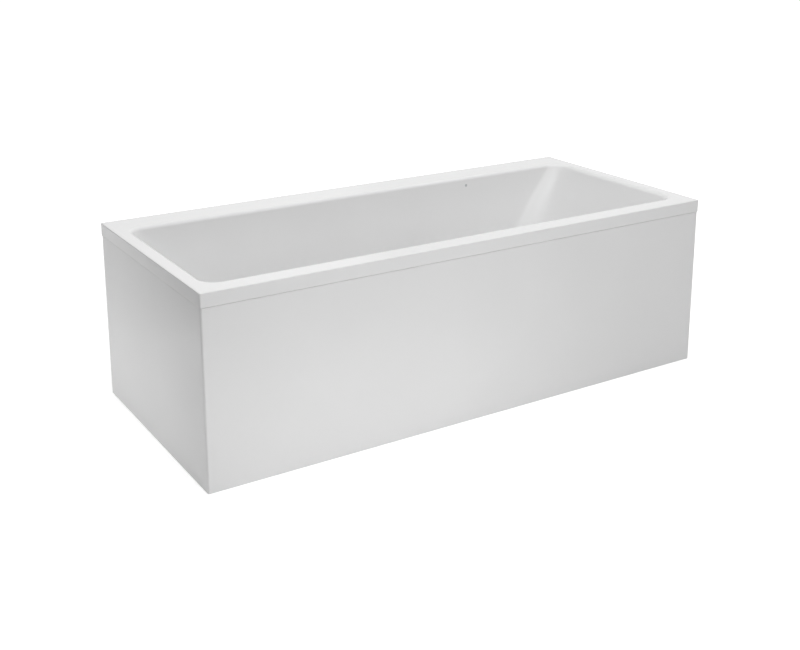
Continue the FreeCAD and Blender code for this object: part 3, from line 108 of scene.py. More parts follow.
def clouded(tree, place, size, detail, rough, colours, gloss):
    # blotches of one width in metres, which carry two colours and two roughnesses together
    first, second = (linearColour(colour) for colour in colours)
    cloud = addNode(
        tree,
        "ShaderNodeTexNoise",
        inputs={"Vector": place, "Scale": 1 / size, "Detail": detail, "Roughness": rough},
    )
    tint = addNode(tree, "ShaderNodeMix", {"data_type": "RGBA"}, {0: cloud, 6: first, 7: second})
    shine = addNode(
        tree,
        "ShaderNodeMapRange",
        inputs={"Value": cloud, "From Min": 0.3, "From Max": 0.7, "To Min": gloss[0], "To Max": gloss[1]},
    )
    return cloud, tint, shine


def relief(tree, place, size, detail, depth, strength, rough=0.5, below=None):
    # a lumpy skin: lumps of one width and depth in metres, on top of the relief below
    lumps = addNode(
        tree,
        "ShaderNodeTexNoise",
        inputs={"Vector": place, "Scale": 1 / size, "Detail": detail, "Roughness": rough},
    )
    inputs = {"Height": lumps, "Distance": depth, "Strength": strength}
    if below:
        inputs["Normal"] = below
    return addNode(tree, "ShaderNodeBump", inputs=inputs)


def castAcrylic(name, colour, shade):
    # cell-cast PMMA drawn over a mould: deep gloss, with the long slow waves of vacuum forming
    material, tree, place = newMaterial(name)
    cloud = addNode(
        tree, "ShaderNodeTexNoise", inputs={"Vector": place, "Scale": 1 / (220 * millimetre), "Detail": 1.5}
    )
    colours = {0: cloud, 6: linearColour(colour), 7: linearColour(shade)}
    tint = addNode(tree, "ShaderNodeMix", {"data_type": "RGBA"}, colours)
    wiped = addNode(tree, "ShaderNodeMapping", inputs={"Vector": place, "Scale": (1, 1, 0.4)})
    smear = addNode(
        tree,
        "ShaderNodeTexNoise",
        inputs={"Vector": wiped, "Scale": 1 / (60 * millimetre), "Detail": 4.0, "Roughness": 0.6},
    )
    shine = addNode(
        tree,
        "ShaderNodeMapRange",
        inputs={"Value": smear, "From Min": 0.3, "From Max": 0.7, "To Min": 0.21, "To Max": 0.225},
    )
    waves = relief(tree, place, 90 * millimetre, 1.0, 0.12 * millimetre, 0.6)
    peel = relief(tree, place, 3 * millimetre, 1.0, 0.004 * millimetre, 0.5, below=waves)
    inputs = {"Base Color": tint, "Roughness": shine, "Normal": peel, "IOR": 1.49, "Specular IOR Level": 0.35}
    closeMaterial(tree, inputs)
    return material


def sprayedFibreglass():
    # polyester resin with chopped glass strands, rolled on by hand behind the acrylic: milky, matt and lumpy
    material, tree, place = newMaterial("sprayedFibreglass")
    chopped = addNode(tree, "ShaderNodeMapping", inputs={"Vector": place, "Scale": (1, 1.6, 1)})
    strands = addNode(
        tree,
        "ShaderNodeTexVoronoi",
        {"feature": "DISTANCE_TO_EDGE"},
        {"Vector": chopped, "Scale": 1 / (9 * millimetre), "Randomness": 1.0},
    )
    lines = addNode(
        tree,
        "ShaderNodeMapRange",
        inputs={"Value": strands, "From Min": 0.0, "From Max": 0.12, "To Min": 1.0, "To Max": 0.0},
    )
    resin, shine = clouded(tree, place, 40 * millimetre, 5.0, 0.6, ("DEDBD0", "EEECE3"), (0.42, 0.62))[1:]
    share = addNode(tree, "ShaderNodeMath", {"operation": "MULTIPLY"}, {0: lines, 1: 0.35})
    glassy = {0: share, 6: resin, 7: linearColour("F6F5F0")}
    tint = addNode(tree, "ShaderNodeMix", {"data_type": "RGBA"}, glassy)
    lumps = relief(tree, place, 14 * millimetre, 4.0, 0.9 * millimetre, 0.8, rough=0.65)
    skin = addNode(
        tree,
        "ShaderNodeBump",
        inputs={"Height": lines, "Distance": 0.25 * millimetre, "Strength": 0.7, "Normal": lumps},
    )
    closeMaterial(tree, {"Base Color": tint, "Roughness": shine, "Normal": skin, "IOR": 1.52})
    return material


def planedTimber():
    # kiln-dried spruce, planed: pale early wood with darker late-wood lines along the batten
    material, tree, place = newMaterial("planedSpruce")
    along = addNode(tree, "ShaderNodeMapping", inputs={"Vector": place, "Scale": (0.05, 1, 1)})
    wander = addNode(
        tree, "ShaderNodeTexNoise", inputs={"Vector": along, "Scale": 1 / (45 * millimetre), "Detail": 3.0}
    )
    rings = addNode(
        tree,
        "ShaderNodeTexWave",
        {"wave_type": "BANDS", "bands_direction": "DIAGONAL"},
        {"Vector": along, "Scale": 1 / (14 * millimetre) / 6.28, "Distortion": 7.0, "Detail": 3.0},
    ).outputs["Fac"]
    late = addNode(
        tree,
        "ShaderNodeMapRange",
        inputs={"Value": rings, "From Min": 0.55, "From Max": 1.0, "To Min": 0.0, "To Max": 0.75},
    )
    early = {0: wander, 6: linearColour("D9B98A"), 7: linearColour("E6CCA2")}
    pale = addNode(tree, "ShaderNodeMix", {"data_type": "RGBA"}, early)
    both = {0: late, 6: pale, 7: linearColour("B98E5B")}
    tint = addNode(tree, "ShaderNodeMix", {"data_type": "RGBA"}, both)
    shine = addNode(
        tree,
        "ShaderNodeMapRange",
        inputs={"Value": rings, "From Min": 0.3, "From Max": 0.7, "To Min": 0.5, "To Max": 0.66},
    )
    drawn = addNode(tree, "ShaderNodeMapping", inputs={"Vector": place, "Scale": (0.03, 1, 1)})
    pores = relief(tree, drawn, 1.2 * millimetre, 2.0, 0.12 * millimetre, 0.8)
    inputs = {"Base Color": tint, "Roughness": shine, "Normal": pores, "IOR": 1.45, "Specular IOR Level": 0.3}
    closeMaterial(tree, inputs)
    return material


def rawChipboard():
    # pressed wood flakes in resin, unfaced: a patchwork of tan chips a few millimetres across
    material, tree, place = newMaterial("rawChipboard")
    pressed = addNode(tree, "ShaderNodeMapping", inputs={"Vector": place, "Scale": (1, 1.7, 1.2)})
    cells = addNode(
        tree,
        "ShaderNodeTexVoronoi",
        {"feature": "F1"},
        {"Vector": pressed, "Scale": 1 / (5 * millimetre), "Randomness": 1.0},
    )
    flake = addNode(tree, "ShaderNodeSeparateColor", inputs={"Color": cells.outputs["Color"]})
    chips = {0: flake, 6: linearColour("A9855A"), 7: linearColour("D8BC8E")}
    pale = addNode(tree, "ShaderNodeMix", {"data_type": "RGBA"}, chips)
    dust = addNode(
        tree, "ShaderNodeTexNoise", inputs={"Vector": place, "Scale": 1 / (3 * millimetre), "Detail": 3.0}
    )
    dark = addNode(
        tree,
        "ShaderNodeMapRange",
        inputs={"Value": dust, "From Min": 0.55, "From Max": 0.75, "To Min": 0.0, "To Max": 0.5},
    )
    both = {0: dark, 6: pale, 7: linearColour("8A683F")}
    tint = addNode(tree, "ShaderNodeMix", {"data_type": "RGBA"}, both)
    shine = addNode(tree, "ShaderNodeMapRange", inputs={"Value": flake, "To Min": 0.62, "To Max": 0.8})
    height = {"Height": cells.outputs["Distance"], "Distance": 0.25 * millimetre, "Strength": 0.7}
    skin = addNode(tree, "ShaderNodeBump", inputs=height)
    inputs = {"Base Color": tint, "Roughness": shine, "Normal": skin, "IOR": 1.45, "Specular IOR Level": 0.25}
    closeMaterial(tree, inputs)
    return material


def zincPlate(name, colour, rough):
    # bright zinc electroplated on pressed steel: a cool, slightly cloudy metal with fine rolling lines
    material, tree, place = newMaterial(name)
    gloss = (rough - 0.06, rough + 0.1)
    tint, shine = clouded(tree, place, 12 * millimetre, 3.0, 0.6, (colour, "DADCDD"), gloss)[1:]
    rolled = addNode(tree, "ShaderNodeMapping", inputs={"Vector": place, "Scale": (0.06, 1, 1)})
    lines = relief(tree, rolled, 1.0 * millimetre, 2.0, 0.02 * millimetre, 0.6)
    closeMaterial(tree, {"Base Color": tint, "Roughness": shine, "Normal": lines, "Metallic": 1.0})
    return material


def polishedChrome():
    # decorative chromium over polished brass: a near mirror, with a trace of water marks
    material, tree, place = newMaterial("polishedChrome")
    tint, shine = clouded(tree, place, 9 * millimetre, 4.0, 0.6, ("E9EBED", "DFE2E5"), (0.04, 0.11))[1:]
    closeMaterial(tree, {"Base Color": tint, "Roughness": shine, "Metallic": 1.0})
    return material


def mouldedPlastic(name, colour, shade, rough, grain):
    # injection-moulded polypropylene or polyamide: a satin skin with a fine eroded grain
    material, tree, place = newMaterial(name)
    gloss = (rough - 0.04, rough + 0.06)
    tint, shine = clouded(tree, place, 25 * millimetre, 2.0, 0.5, (colour, shade), gloss)[1:]
    # the grain is drawn at 0.7 mm, coarser than the real skin, so that it shows
    skin = relief(tree, place, 0.7 * millimetre, 2.0, grain * millimetre, 0.6)
    inputs = {"Base Color": tint, "Roughness": shine, "Normal": skin, "IOR": 1.5, "Specular IOR Level": 0.45}
    closeMaterial(tree, inputs)
    return material


def mouldedRubber():
    # black EPDM seals: dull, with a slight bloom
    material, tree, place = newMaterial("mouldedRubber")
    black = ("161616", "2A2A2A")
    bloom, tint, shine = clouded(tree, place, 6 * millimetre, 4.0, 0.65, black, (0.62, 0.82))
    height = {"Height": bloom, "Distance": 0.05 * millimetre, "Strength": 0.5}
    skin = addNode(tree, "ShaderNodeBump", inputs=height)
    inputs = {"Base Color": tint, "Roughness": shine, "Normal": skin, "IOR": 1.5, "Specular IOR Level": 0.35}
    closeMaterial(tree, inputs)
    return material


acrylic = castAcrylic("castAcrylic", "F0F0F0", "ECECEC")
panelAcrylic = castAcrylic("thermoformedAcrylic", "EEEEEE", "EAEAEA")
fibreglass = sprayedFibreglass()
spruce = planedTimber()
chipboard = rawChipboard()
zinc = zincPlate("zincPlatedSteel", "C2C5C8", 0.32)
nickel = zincPlate("nickelPlatedMagnet", "B3B2AC", 0.22)
chrome = polishedChrome()
whitePlastic = mouldedPlastic("mouldedPolypropylene", "EDECE7", "E6E4DE", 0.34, 0.03)
blackPlastic = mouldedPlastic("mouldedPolyamide", "1D1D1F", "27272A", 0.42, 0.05)
greyPlastic = mouldedPlastic("softGreyPvc", "8E9194", "9A9DA0", 0.4, 0.03)
sheath = mouldedPlastic("blackPeSheath", "1A1A1C", "222225", 0.5, 0.03)
rubber = mouldedRubber()
capPlastic = mouldedPlastic("satinGreyPolyamide", "BDBFC1", "C4C6C8", 0.4, 0.02)
print("materials made")


def fromBmesh(name, shape, materials, sharpAngle=hardFrom):
    mesh = bpy.data.meshes.new(name)
    shape.to_mesh(mesh)
    shape.free()
    mesh.shade_smooth()
    mesh.set_sharp_from_angle(angle=math.radians(sharpAngle))
    for material in materials:
        mesh.materials.append(material)
    piece = bpy.data.objects.new(name, mesh)
    bpy.context.scene.collection.objects.link(piece)
    return piece


def applied(piece):
    # the evaluated mesh takes the place of the piece's own, and its modifiers go
    graph = bpy.context.evaluated_depsgraph_get()
    finished = piece.evaluated_get(graph)
    mesh = bpy.data.meshes.new_from_object(finished, preserve_all_data_layers=True, depsgraph=graph)
    piece.modifiers.clear()
    piece.data = mesh
    return piece


def standIn(piece, node, body):
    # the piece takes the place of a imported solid
    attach(piece, body)
    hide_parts(node)


def dressing(piece, body):
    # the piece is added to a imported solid, which stays
    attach(piece, body)


# metres, and degrees from upright
moulding = {
    "rimFoot": 0.044,  # the rims run from the outer edge to the basin's wall
    "rimHead": 0.046,
    "rimFront": 0.066,
    "rimBack": 0.106,
    "smallRoll": 0.012,  # radius from the rim into the basin, and the larger one at the head end
    "headRoll": 0.024,
    "depth": 0.410,
    "footAngle": 9,
    "headAngle": 35,
    "sideAngle": 4.5,
    "openingCorner": 0.046,  # corner radii in plan, at the rim and on the floor
    "floorCorner": 0.110,
    "floorBlend": 0.060,  # radius from the walls into the floor
    "wall": 0.005,
    "edge": 0.038,  # height of the upstanding edge
    "planCorner": 0.005,  # corners of the outer edge in plan, and the least that is left of them inside
    "leastCorner": 0.0005,
    "arris": 0.0025,  # rounding between the rim's flat and its edge
    "arrisSteps": 5,
    "support": 0.0015,  # a row of points this near each rounding keeps the flats flat in the shading
    "cornerColumns": 14,
    "longColumns": 44,
    "shortColumns": 18,
    "curveRows": 9,
    "wallRows": 12,
    "lumpSize": 0.035,  # the glass fibre's lumps behind the walls
    "lumpHeight": 0.0012,
}


def slopeRun(angle):
    return moulding["depth"] * math.tan(math.radians(angle))


def openingBox():
    left, right = shellLow.x + moulding["rimFoot"], shellHigh.x - moulding["rimHead"]
    front, back = shellLow.y + moulding["rimFront"], shellHigh.y - moulding["rimBack"]
    return left, right, front, back


# the corners going round: where each quarter turn starts, in degrees, and its side along X and along Y
cornerTurns = [(-90, 1, -1), (0, 1, 1), (90, -1, 1), (180, -1, -1)]


def basinColumns():
    # round the opening: each column has its point at the rim, its point on the floor, and its way outwards
    left, right, front, back = openingBox()
    footRun, headRun = slopeRun(moulding["footAngle"]), slopeRun(moulding["headAngle"])
    sideRun = slopeRun(moulding["sideAngle"])
    top, low = moulding["openingCorner"], moulding["floorCorner"]
    corners = []
    for start, sideX, sideY in cornerTurns:
        edgeX, run = (right, headRun) if sideX > 0 else (left, footRun)
        edgeY = back if sideY > 0 else front
        topCentre = Vector((edgeX - sideX * top, edgeY - sideY * top))
        lowCentre = topCentre + Vector((-sideX * (run + low - top), -sideY * (sideRun + low - top)))
        corners.append((start, topCentre, lowCentre))
    columns = []
    for index, (start, topCentre, lowCentre) in enumerate(corners):
        steps = moulding["cornerColumns"]
        for step in range(steps + 1):
            angle = math.radians(start + 90 * step / steps)
            way = Vector((math.cos(angle), math.sin(angle)))
            share = headShare(start, step / steps)
            columns.append((topCentre + way * top, lowCentre + way * low, way, share))
        following = corners[(index + 1) % 4]
        way = columns[-1][2].copy()
        first, last = columns[-1][:2], (following[1] + way * top, following[2] + way * low)
        count = moulding["shortColumns"] if index % 2 == 0 else moulding["longColumns"]
        for step in range(1, count):
            share = step / count
            upper, lower = (first[level].lerp(last[level], share) for level in (0, 1))
            columns.append((upper, lower, way, columns[-1][3]))
    return columns


def headShare(start, step):
    # 0 where the small roll is, 1 along the head end, growing round the two head corners
    if start == -90:
        return step
    if start == 0:
        return 1 - step
    return 0


def columnPoints(top, low, way, share):
    # down one column: across the roll, down the wall, round the blend and onto the floor
    depth = moulding["depth"]
    drift = (low - top) / depth
    slope = -drift.dot(way)
    angle = math.atan(slope)
    roll = moulding["smallRoll"] + share * (moulding["headRoll"] - moulding["smallRoll"])
    blend = moulding["floorBlend"]
    sideways = drift - way * drift.dot(way)
    rollEdge = roll * math.tan((math.pi / 2 - angle) / 2)
    blendEdge = blend * math.tan((math.pi / 2 - angle) / 2)
    points = []

    def add(out, down):
        place = top + way * out + sideways * down
        points.append(Vector((place.x, place.y, shellHigh.z - down)))

    rows = moulding["curveRows"]
    add(rollEdge + moulding["support"], 0)
    for step in range(rows + 1):
        turn = (math.pi / 2 - angle) * step / rows
        add(rollEdge - roll * math.sin(turn), roll - roll * math.cos(turn))
    wallTop = roll - roll * math.sin(angle)
    wallLow = depth - blend + blend * math.sin(angle)
    wallRows = moulding["wallRows"]
    near = moulding["support"] / (wallLow - wallTop)
    for portion in [near] + [step / wallRows for step in range(1, wallRows)] + [1 - near]:
        down = wallTop + (wallLow - wallTop) * portion
        add(-down * slope, down)
    for step in range(rows + 1):
        turn = (math.pi / 2 - angle) * (1 - step / rows)
        add(-depth * slope - blendEdge + blend * math.sin(turn), depth - blend + blend * math.cos(turn))
    add(-depth * slope - blendEdge - moulding["support"], depth)
    return points


def outerLoops():
    # from the flat of the rim over the arris and down the upstanding edge
    arris, steps = moulding["arris"], moulding["arrisSteps"]
    levels = [(arris + moulding["support"], 0)]
    for step in range(steps + 1):
        turn = math.pi / 2 * step / steps
        levels.append((arris - arris * math.sin(turn), arris - arris * math.cos(turn)))
    levels.append((0, arris + moulding["support"]))
    levels.append((0, moulding["edge"]))
    loops = []
    for inset, down in levels:
        loop = []
        radius = max(moulding["planCorner"] - inset, moulding["leastCorner"])
        for start, sideX, sideY in cornerTurns:
            cornerX = (shellHigh.x if sideX > 0 else shellLow.x) - sideX * (inset + radius)
            cornerY = (shellHigh.y if sideY > 0 else shellLow.y) - sideY * (inset + radius)
            for step in range(steps + 1):
                angle = math.radians(start + 90 * step / steps)
                place = (cornerX + radius * math.cos(angle), cornerY + radius * math.sin(angle))
                loop.append(Vector((*place, shellHigh.z - down)))
        loops.append(loop)
    return loops


def band(shape, rows):
    # joins rings of vertices, all of one length, into a closed band of quads
    for upper, lower in zip(rows, rows[1:]):
        for number in range(len(upper)):
            following = (number + 1) % len(upper)
            shape.faces.new((upper[number], upper[following], lower[following], lower[number]))


def loopEdges(shape, row):
    return [shape.edges.get((row[number], row[(number + 1) % len(row)])) for number in range(len(row))]


def buildMoulding():
    # the skin is drawn as the acrylic's face, and its thickness, in fibreglass, is added behind it
    shape = bmesh.new()
    columns = [columnPoints(*column) for column in basinColumns()]
    inner = [[shape.verts.new(point) for point in row] for row in zip(*columns)]
    outer = [[shape.verts.new(point) for point in loop] for loop in outerLoops()]
    band(shape, inner)
    band(shape, outer)
    shape.faces.new(list(reversed(inner[-1])))
    flat = loopEdges(shape, inner[0]) + loopEdges(shape, outer[0])
    bmesh.ops.triangle_fill(shape, use_beauty=True, edges=flat, normal=(0, 0, 1))
    bmesh.ops.recalc_face_normals(shape, faces=shape.faces)
    if sum(face.normal.z * face.calc_area() for face in shape.faces) < 0:
        bmesh.ops.reverse_faces(shape, faces=shape.faces)
    piece = fromBmesh("bathMoulding", shape, [acrylic, fibreglass])
    wall = piece.modifiers.new("wall", "SOLIDIFY")
    wall.thickness = moulding["wall"]
    wall.offset = -1
    wall.use_even_offset = True
    wall.material_offset = 1
    applied(piece)
    drillHoles(piece)
    roughenUnderside(piece)
    standIn(piece, "bath_shell", "bath")


# each fitting's hole: its radius, and how far its middle is below the rim
fittingHoles = {
    "waste": {"radius": 0.026, "drop": moulding["depth"]},
    "overflow": {"radius": 0.026, "drop": 0.105},
    "pilot": {"radius": 0.0035, "drop": 0.028},
    "sides": 72,
}


def holePlaces():
    # each hole's middle on its wall, with +Z turned square to the wall, into the basin
    left, right, front, back = openingBox()
    overflowDrop, pilotDrop = fittingHoles["overflow"]["drop"], fittingHoles["pilot"]["drop"]
    overflowX = left + overflowDrop * math.tan(math.radians(moulding["footAngle"]))
    pilotY = back - pilotDrop * math.tan(math.radians(moulding["sideAngle"]))
    waste, pilot = middleOf("waste_seal_upper"), middleOf("pilot_hole_cap")
    return {
        "waste": Matrix.Translation((waste.x, waste.y, shellHigh.z - fittingHoles["waste"]["drop"])),
        "overflow": Matrix.Translation((overflowX, (front + back) / 2, shellHigh.z - overflowDrop))
        @ Matrix.Rotation(math.radians(90 - moulding["footAngle"]), 4, "Y"),
        "pilot": Matrix.Translation((pilot.x, pilotY, shellHigh.z - pilotDrop))
        @ Matrix.Rotation(math.radians(90 - moulding["sideAngle"]), 4, "X"),
    }


def drillHoles(piece):
    cutter = bmesh.new()
    for name, place in holePlaces().items():
        radius = fittingHoles[name]["radius"]
        bmesh.ops.create_cone(
            cutter,
            cap_ends=True,
            segments=fittingHoles["sides"],
            radius1=radius,
            radius2=radius,
            depth=6 * moulding["wall"],
            matrix=place,
        )
    tool = fromBmesh("holeCutter", cutter, [acrylic])
    drill = piece.modifiers.new("holes", "BOOLEAN")
    drill.object = tool
    drill.operation = "DIFFERENCE"
    drill.solver = "EXACT"
    applied(piece)
    bpy.data.objects.remove(tool)
    piece.data.shade_smooth()
    piece.data.set_sharp_from_angle(angle=math.radians(hardFrom))


def roughenUnderside(piece):
    # hand-rolled glass fibre is uneven; the rim's skirt and the bonded places stay flat
    mesh = piece.data
    sides = [set(), set()]  # the vertices of the acrylic's faces and of the fibreglass's
    for face in mesh.polygons:
        sides[face.material_index].update(face.vertices)
    limit = shellHigh.z - moulding["edge"]
    floorUnder = shellLow.z + moulding["wall"]
    for index in sorted(sides[1] - sides[0]):
        vertex = mesh.vertices[index]
        if vertex.co.z > limit or vertex.co.z < floorUnder:
            continue
        lift = noise.noise(vertex.co / moulding["lumpSize"]) * moulding["lumpHeight"]
        vertex.co += vertex.normal * lift


buildMoulding()
print("moulding made")


def mergedCopy(node):
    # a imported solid's loose triangles, joined up and cleared of flat seams
    shape = bmesh.new()
    shape.from_mesh(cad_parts[node].data)
    bmesh.ops.remove_doubles(shape, verts=shape.verts, dist=0.02 * millimetre)
    bmesh.ops.dissolve_limit(shape, angle_limit=math.radians(0.5), verts=shape.verts, edges=shape.edges)
    return shape


def softened(node, body, material, width, segments=2, sharpAngle=40):
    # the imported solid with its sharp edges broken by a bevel
    piece = fromBmesh(node + "Finished", mergedCopy(node), [material], sharpAngle)
    edge = piece.modifiers.new("edge", "BEVEL")
    edge.width = width
    edge.segments = segments
    edge.limit_method = "ANGLE"
    edge.angle_limit = math.radians(sharpAngle)
    edge.use_clamp_overlap = True
    edge.harden_normals = True
    applied(piece)
    standIn(piece, node, body)


softened("l_panel", "panel", panelAcrylic, 1.2 * millimetre, 3)

# bonded or bolted to the bath: material, slot, width of the broken edge in millimetres, and nodes
brokenEdges = [
    (spruce, "softwood", 0.8, ["rim_batten_" + side for side in ("front", "wall", "foot", "head")]),
    (chipboard, "chipboard", 0.5, ["base_board"]),
    (
        zinc,
        "plated_steel",
        0.5,
        ["cradle_bar_foot", "cradle_bar_head", "middle_foot_plate",
         "wall_bracket_foot", "wall_bracket_head", "wall_bracket_end",
         "catch_brackets_front", "catch_brackets_end",
         "floor_rail_foot", "floor_rail_head", "floor_rail_end"],
    ),
]
for material, slotName, width, nodes in brokenEdges:
    for node in nodes:
        softened(node, "bath", material, width * millimetre)
for node in ("panel_stiffener_front", "panel_stiffener_end"):
    softened(node, "panel", chipboard, 0.5 * millimetre)
softened("strike_plates", "panel", zinc, 0.4 * millimetre)
print("board, battens, brackets and panel made")


def newTree(name, sizes):
    # stud threads, pad gussets, hose rings and the grips of the nuts repeat, so Geometry Nodes make them
    # a tree's named inputs are lengths in metres or, where they are whole numbers, counts
    tree = bpy.data.node_groups.new(name, "GeometryNodeTree")
    tree.interface.new_socket("Geometry", in_out="OUTPUT", socket_type="NodeSocketGeometry")
    tree.interface.new_socket("Geometry", in_out="INPUT", socket_type="NodeSocketGeometry")
    for label, value in sizes.items():
        kind = "NodeSocketInt" if isinstance(value, int) else "NodeSocketFloat"
        tree.interface.new_socket(label, in_out="INPUT", socket_type=kind).default_value = value
    return tree, addNode(tree, "NodeGroupInput").outputs


def closeTree(tree, parts, material):
    joined = addNode(tree, "GeometryNodeJoinGeometry", inputs={"Geometry": parts})
    whole = addNode(tree, "GeometryNodeRealizeInstances", inputs={"Geometry": joined})
    faced = addNode(tree, "GeometryNodeSetMaterial", inputs={"Geometry": whole, "Material": material})
    addNode(tree, "NodeGroupOutput", inputs={"Geometry": faced})
    return tree


def aroundAxis(tree, shape, count):
    # copies turned evenly about Z
    points = addNode(tree, "GeometryNodePoints", inputs={"Count": count})
    number = addNode(tree, "GeometryNodeInputIndex")
    share = addNode(tree, "ShaderNodeMath", {"operation": "DIVIDE"}, {0: 2 * math.pi, 1: count})
    turn = addNode(tree, "ShaderNodeMath", {"operation": "MULTIPLY"}, {0: number, 1: share})
    angle = addNode(tree, "ShaderNodeCombineXYZ", inputs={"Z": turn})
    inputs = {"Points": points, "Instance": shape, "Rotation": angle}
    return addNode(tree, "GeometryNodeInstanceOnPoints", inputs=inputs)


def moved(tree, shape, way):
    # way names the distances along X, Y and Z
    place = addNode(tree, "ShaderNodeCombineXYZ", inputs=way)
    return addNode(tree, "GeometryNodeTransform", inputs={"Geometry": shape, "Translation": place})


def grown(name, tree, sizes, place, source=None, sharpAngle=hardFrom):
    # what a tree makes with these sizes, as a plain mesh put in its place
    piece = bpy.data.objects.new(name, source or bpy.data.meshes.new(name))
    bpy.context.scene.collection.objects.link(piece)
    grow = piece.modifiers.new("grow", "NODES")
    grow.node_group = tree
    for item in tree.interface.items_tree:
        if item.in_out == "INPUT" and item.name in sizes:
            grow[item.identifier] = sizes[item.name]
    applied(piece)
    piece.data.transform(place)
    piece.data.shade_smooth()
    piece.data.set_sharp_from_angle(angle=math.radians(sharpAngle))
    return piece


thread = {"Length": 0.125, "Radius": 0.005, "Pitch": 0.0015, "Depth": 0.0005, "Chamfer": 0.001}


def threadedStud():
    # a rolled M10 thread: one ridge wound round a core, with a cone at the top
    tree, given = newTree("threadedStud", thread)
    chamfer = given["Chamfer"]
    core = addNode(tree, "ShaderNodeMath", {"operation": "SUBTRACT"}, {0: given["Radius"], 1: given["Depth"]})
    ends = addNode(tree, "ShaderNodeMath", {"operation": "MULTIPLY"}, {0: chamfer, 1: 2.0})
    wound = addNode(tree, "ShaderNodeMath", {"operation": "SUBTRACT"}, {0: given["Length"], 1: ends})
    turns = addNode(tree, "ShaderNodeMath", {"operation": "DIVIDE"}, {0: wound, 1: given["Pitch"]})
    helix = {"Resolution": 18, "Rotations": turns, "Start Radius": core, "End Radius": core, "Height": wound}
    spiral = addNode(tree, "GeometryNodeCurveSpiral", inputs=helix)
    upright = addNode(tree, "GeometryNodeSetCurveNormal", {"mode": "Z_UP"}, {"Curve": spiral})
    crest = {"Resolution": 4, "Radius": given["Depth"]}
    section = addNode(tree, "GeometryNodeCurvePrimitiveCircle", inputs=crest)
    swept = {"Curve": upright, "Profile Curve": section, "Fill Caps": True}
    ridge = addNode(tree, "GeometryNodeCurveToMesh", inputs=swept)
    shank = addNode(tree, "GeometryNodeMeshCylinder", inputs={"Vertices": 32, "Radius": core, "Depth": wound})
    end = addNode(tree, "ShaderNodeMath", {"operation": "SUBTRACT"}, {0: core, 1: chamfer})
    cone = {"Vertices": 32, "Radius Top": end, "Radius Bottom": core, "Depth": chamfer}
    tip = addNode(tree, "GeometryNodeMeshCone", inputs=cone)
    half = addNode(tree, "ShaderNodeMath", {"operation": "DIVIDE"}, {0: wound, 1: 2.0})
    middle = addNode(tree, "ShaderNodeMath", {"operation": "ADD"}, {0: half, 1: chamfer})
    top = addNode(tree, "ShaderNodeMath", {"operation": "ADD"}, {0: wound, 1: chamfer})
    parts = [
        moved(tree, ridge, {"Z": chamfer}),
        moved(tree, shank, {"Z": middle}),
        moved(tree, tip, {"Z": top}),
    ]
    return closeTree(tree, parts, zinc)


gusset = {
    "Count": 10,
    "Hub": 0.0095,
    "Reach": 0.0225,
    "Foot": 0.0050,
    "Lip": 0.001,
    "Top": 0.0145,
    "Width": 0.0018,
}


def padGussets():
    # moulded gussets between the hub of a pad and its flange
    tree, given = newTree("padGussets", gusset)
    hub, reach, foot, width = given["Hub"], given["Reach"], given["Foot"], given["Width"]
    lip = addNode(tree, "ShaderNodeMath", {"operation": "ADD"}, {0: foot, 1: given["Lip"]})
    inputs = {}
    for number, (out, up) in enumerate([(hub, foot), (reach, foot), (reach, lip), (hub, given["Top"])]):
        inputs[f"Point {number + 1}"] = addNode(tree, "ShaderNodeCombineXYZ", inputs={"X": out, "Y": up})
    outline = addNode(tree, "GeometryNodeCurvePrimitiveQuadrilateral", {"mode": "POINTS"}, inputs)
    sheet = addNode(tree, "GeometryNodeFillCurve", inputs={"Curve": outline})
    raised = addNode(
        tree, "GeometryNodeExtrudeMesh", inputs={"Mesh": sheet, "Offset Scale": width, "Individual": False}
    )
    under = addNode(tree, "GeometryNodeFlipFaces", inputs={"Mesh": sheet})
    both = addNode(tree, "GeometryNodeJoinGeometry", inputs={"Geometry": [raised, under]})
    closed = addNode(tree, "GeometryNodeMergeByDistance", inputs={"Geometry": both})
    back = addNode(tree, "ShaderNodeMath", {"operation": "MULTIPLY"}, {0: width, 1: -0.5})
    centred = moved(tree, closed, {"Z": back})
    inputs = {"Geometry": centred, "Rotation": (math.pi / 2, 0, 0)}
    standing = addNode(tree, "GeometryNodeTransform", inputs=inputs)
    return closeTree(tree, [aroundAxis(tree, standing, given["Count"])], blackPlastic)


grip = {"Count": 24, "Nut Radius": 0.027, "Rib Radius": 0.0012, "Height": 0.012}


def nutGrip():
    # half-round ribs that fingers turn a plastic nut by
    tree, given = newTree("nutGrip", grip)
    inputs = {"Vertices": 10, "Radius": given["Rib Radius"], "Depth": given["Height"]}
    rib = addNode(tree, "GeometryNodeMeshCylinder", inputs=inputs)
    edge = moved(tree, rib, {"X": given["Nut Radius"]})
    return closeTree(tree, [aroundAxis(tree, edge, given["Count"])], whitePlastic)


rings = {"Pitch": 0.0045, "Hose Radius": 0.0114, "Rib Radius": 0.0011}
hoseRoute = {
    "upper": (-0.8068, -0.020, 0.3725),
    "bendCentre": (-0.7033, -0.020, 0.1665),
    "bend": 0.070,
    "bendSteps": 24,
    "lower": (-0.671, -0.020, 0.0965),
    "slope": 9,
}


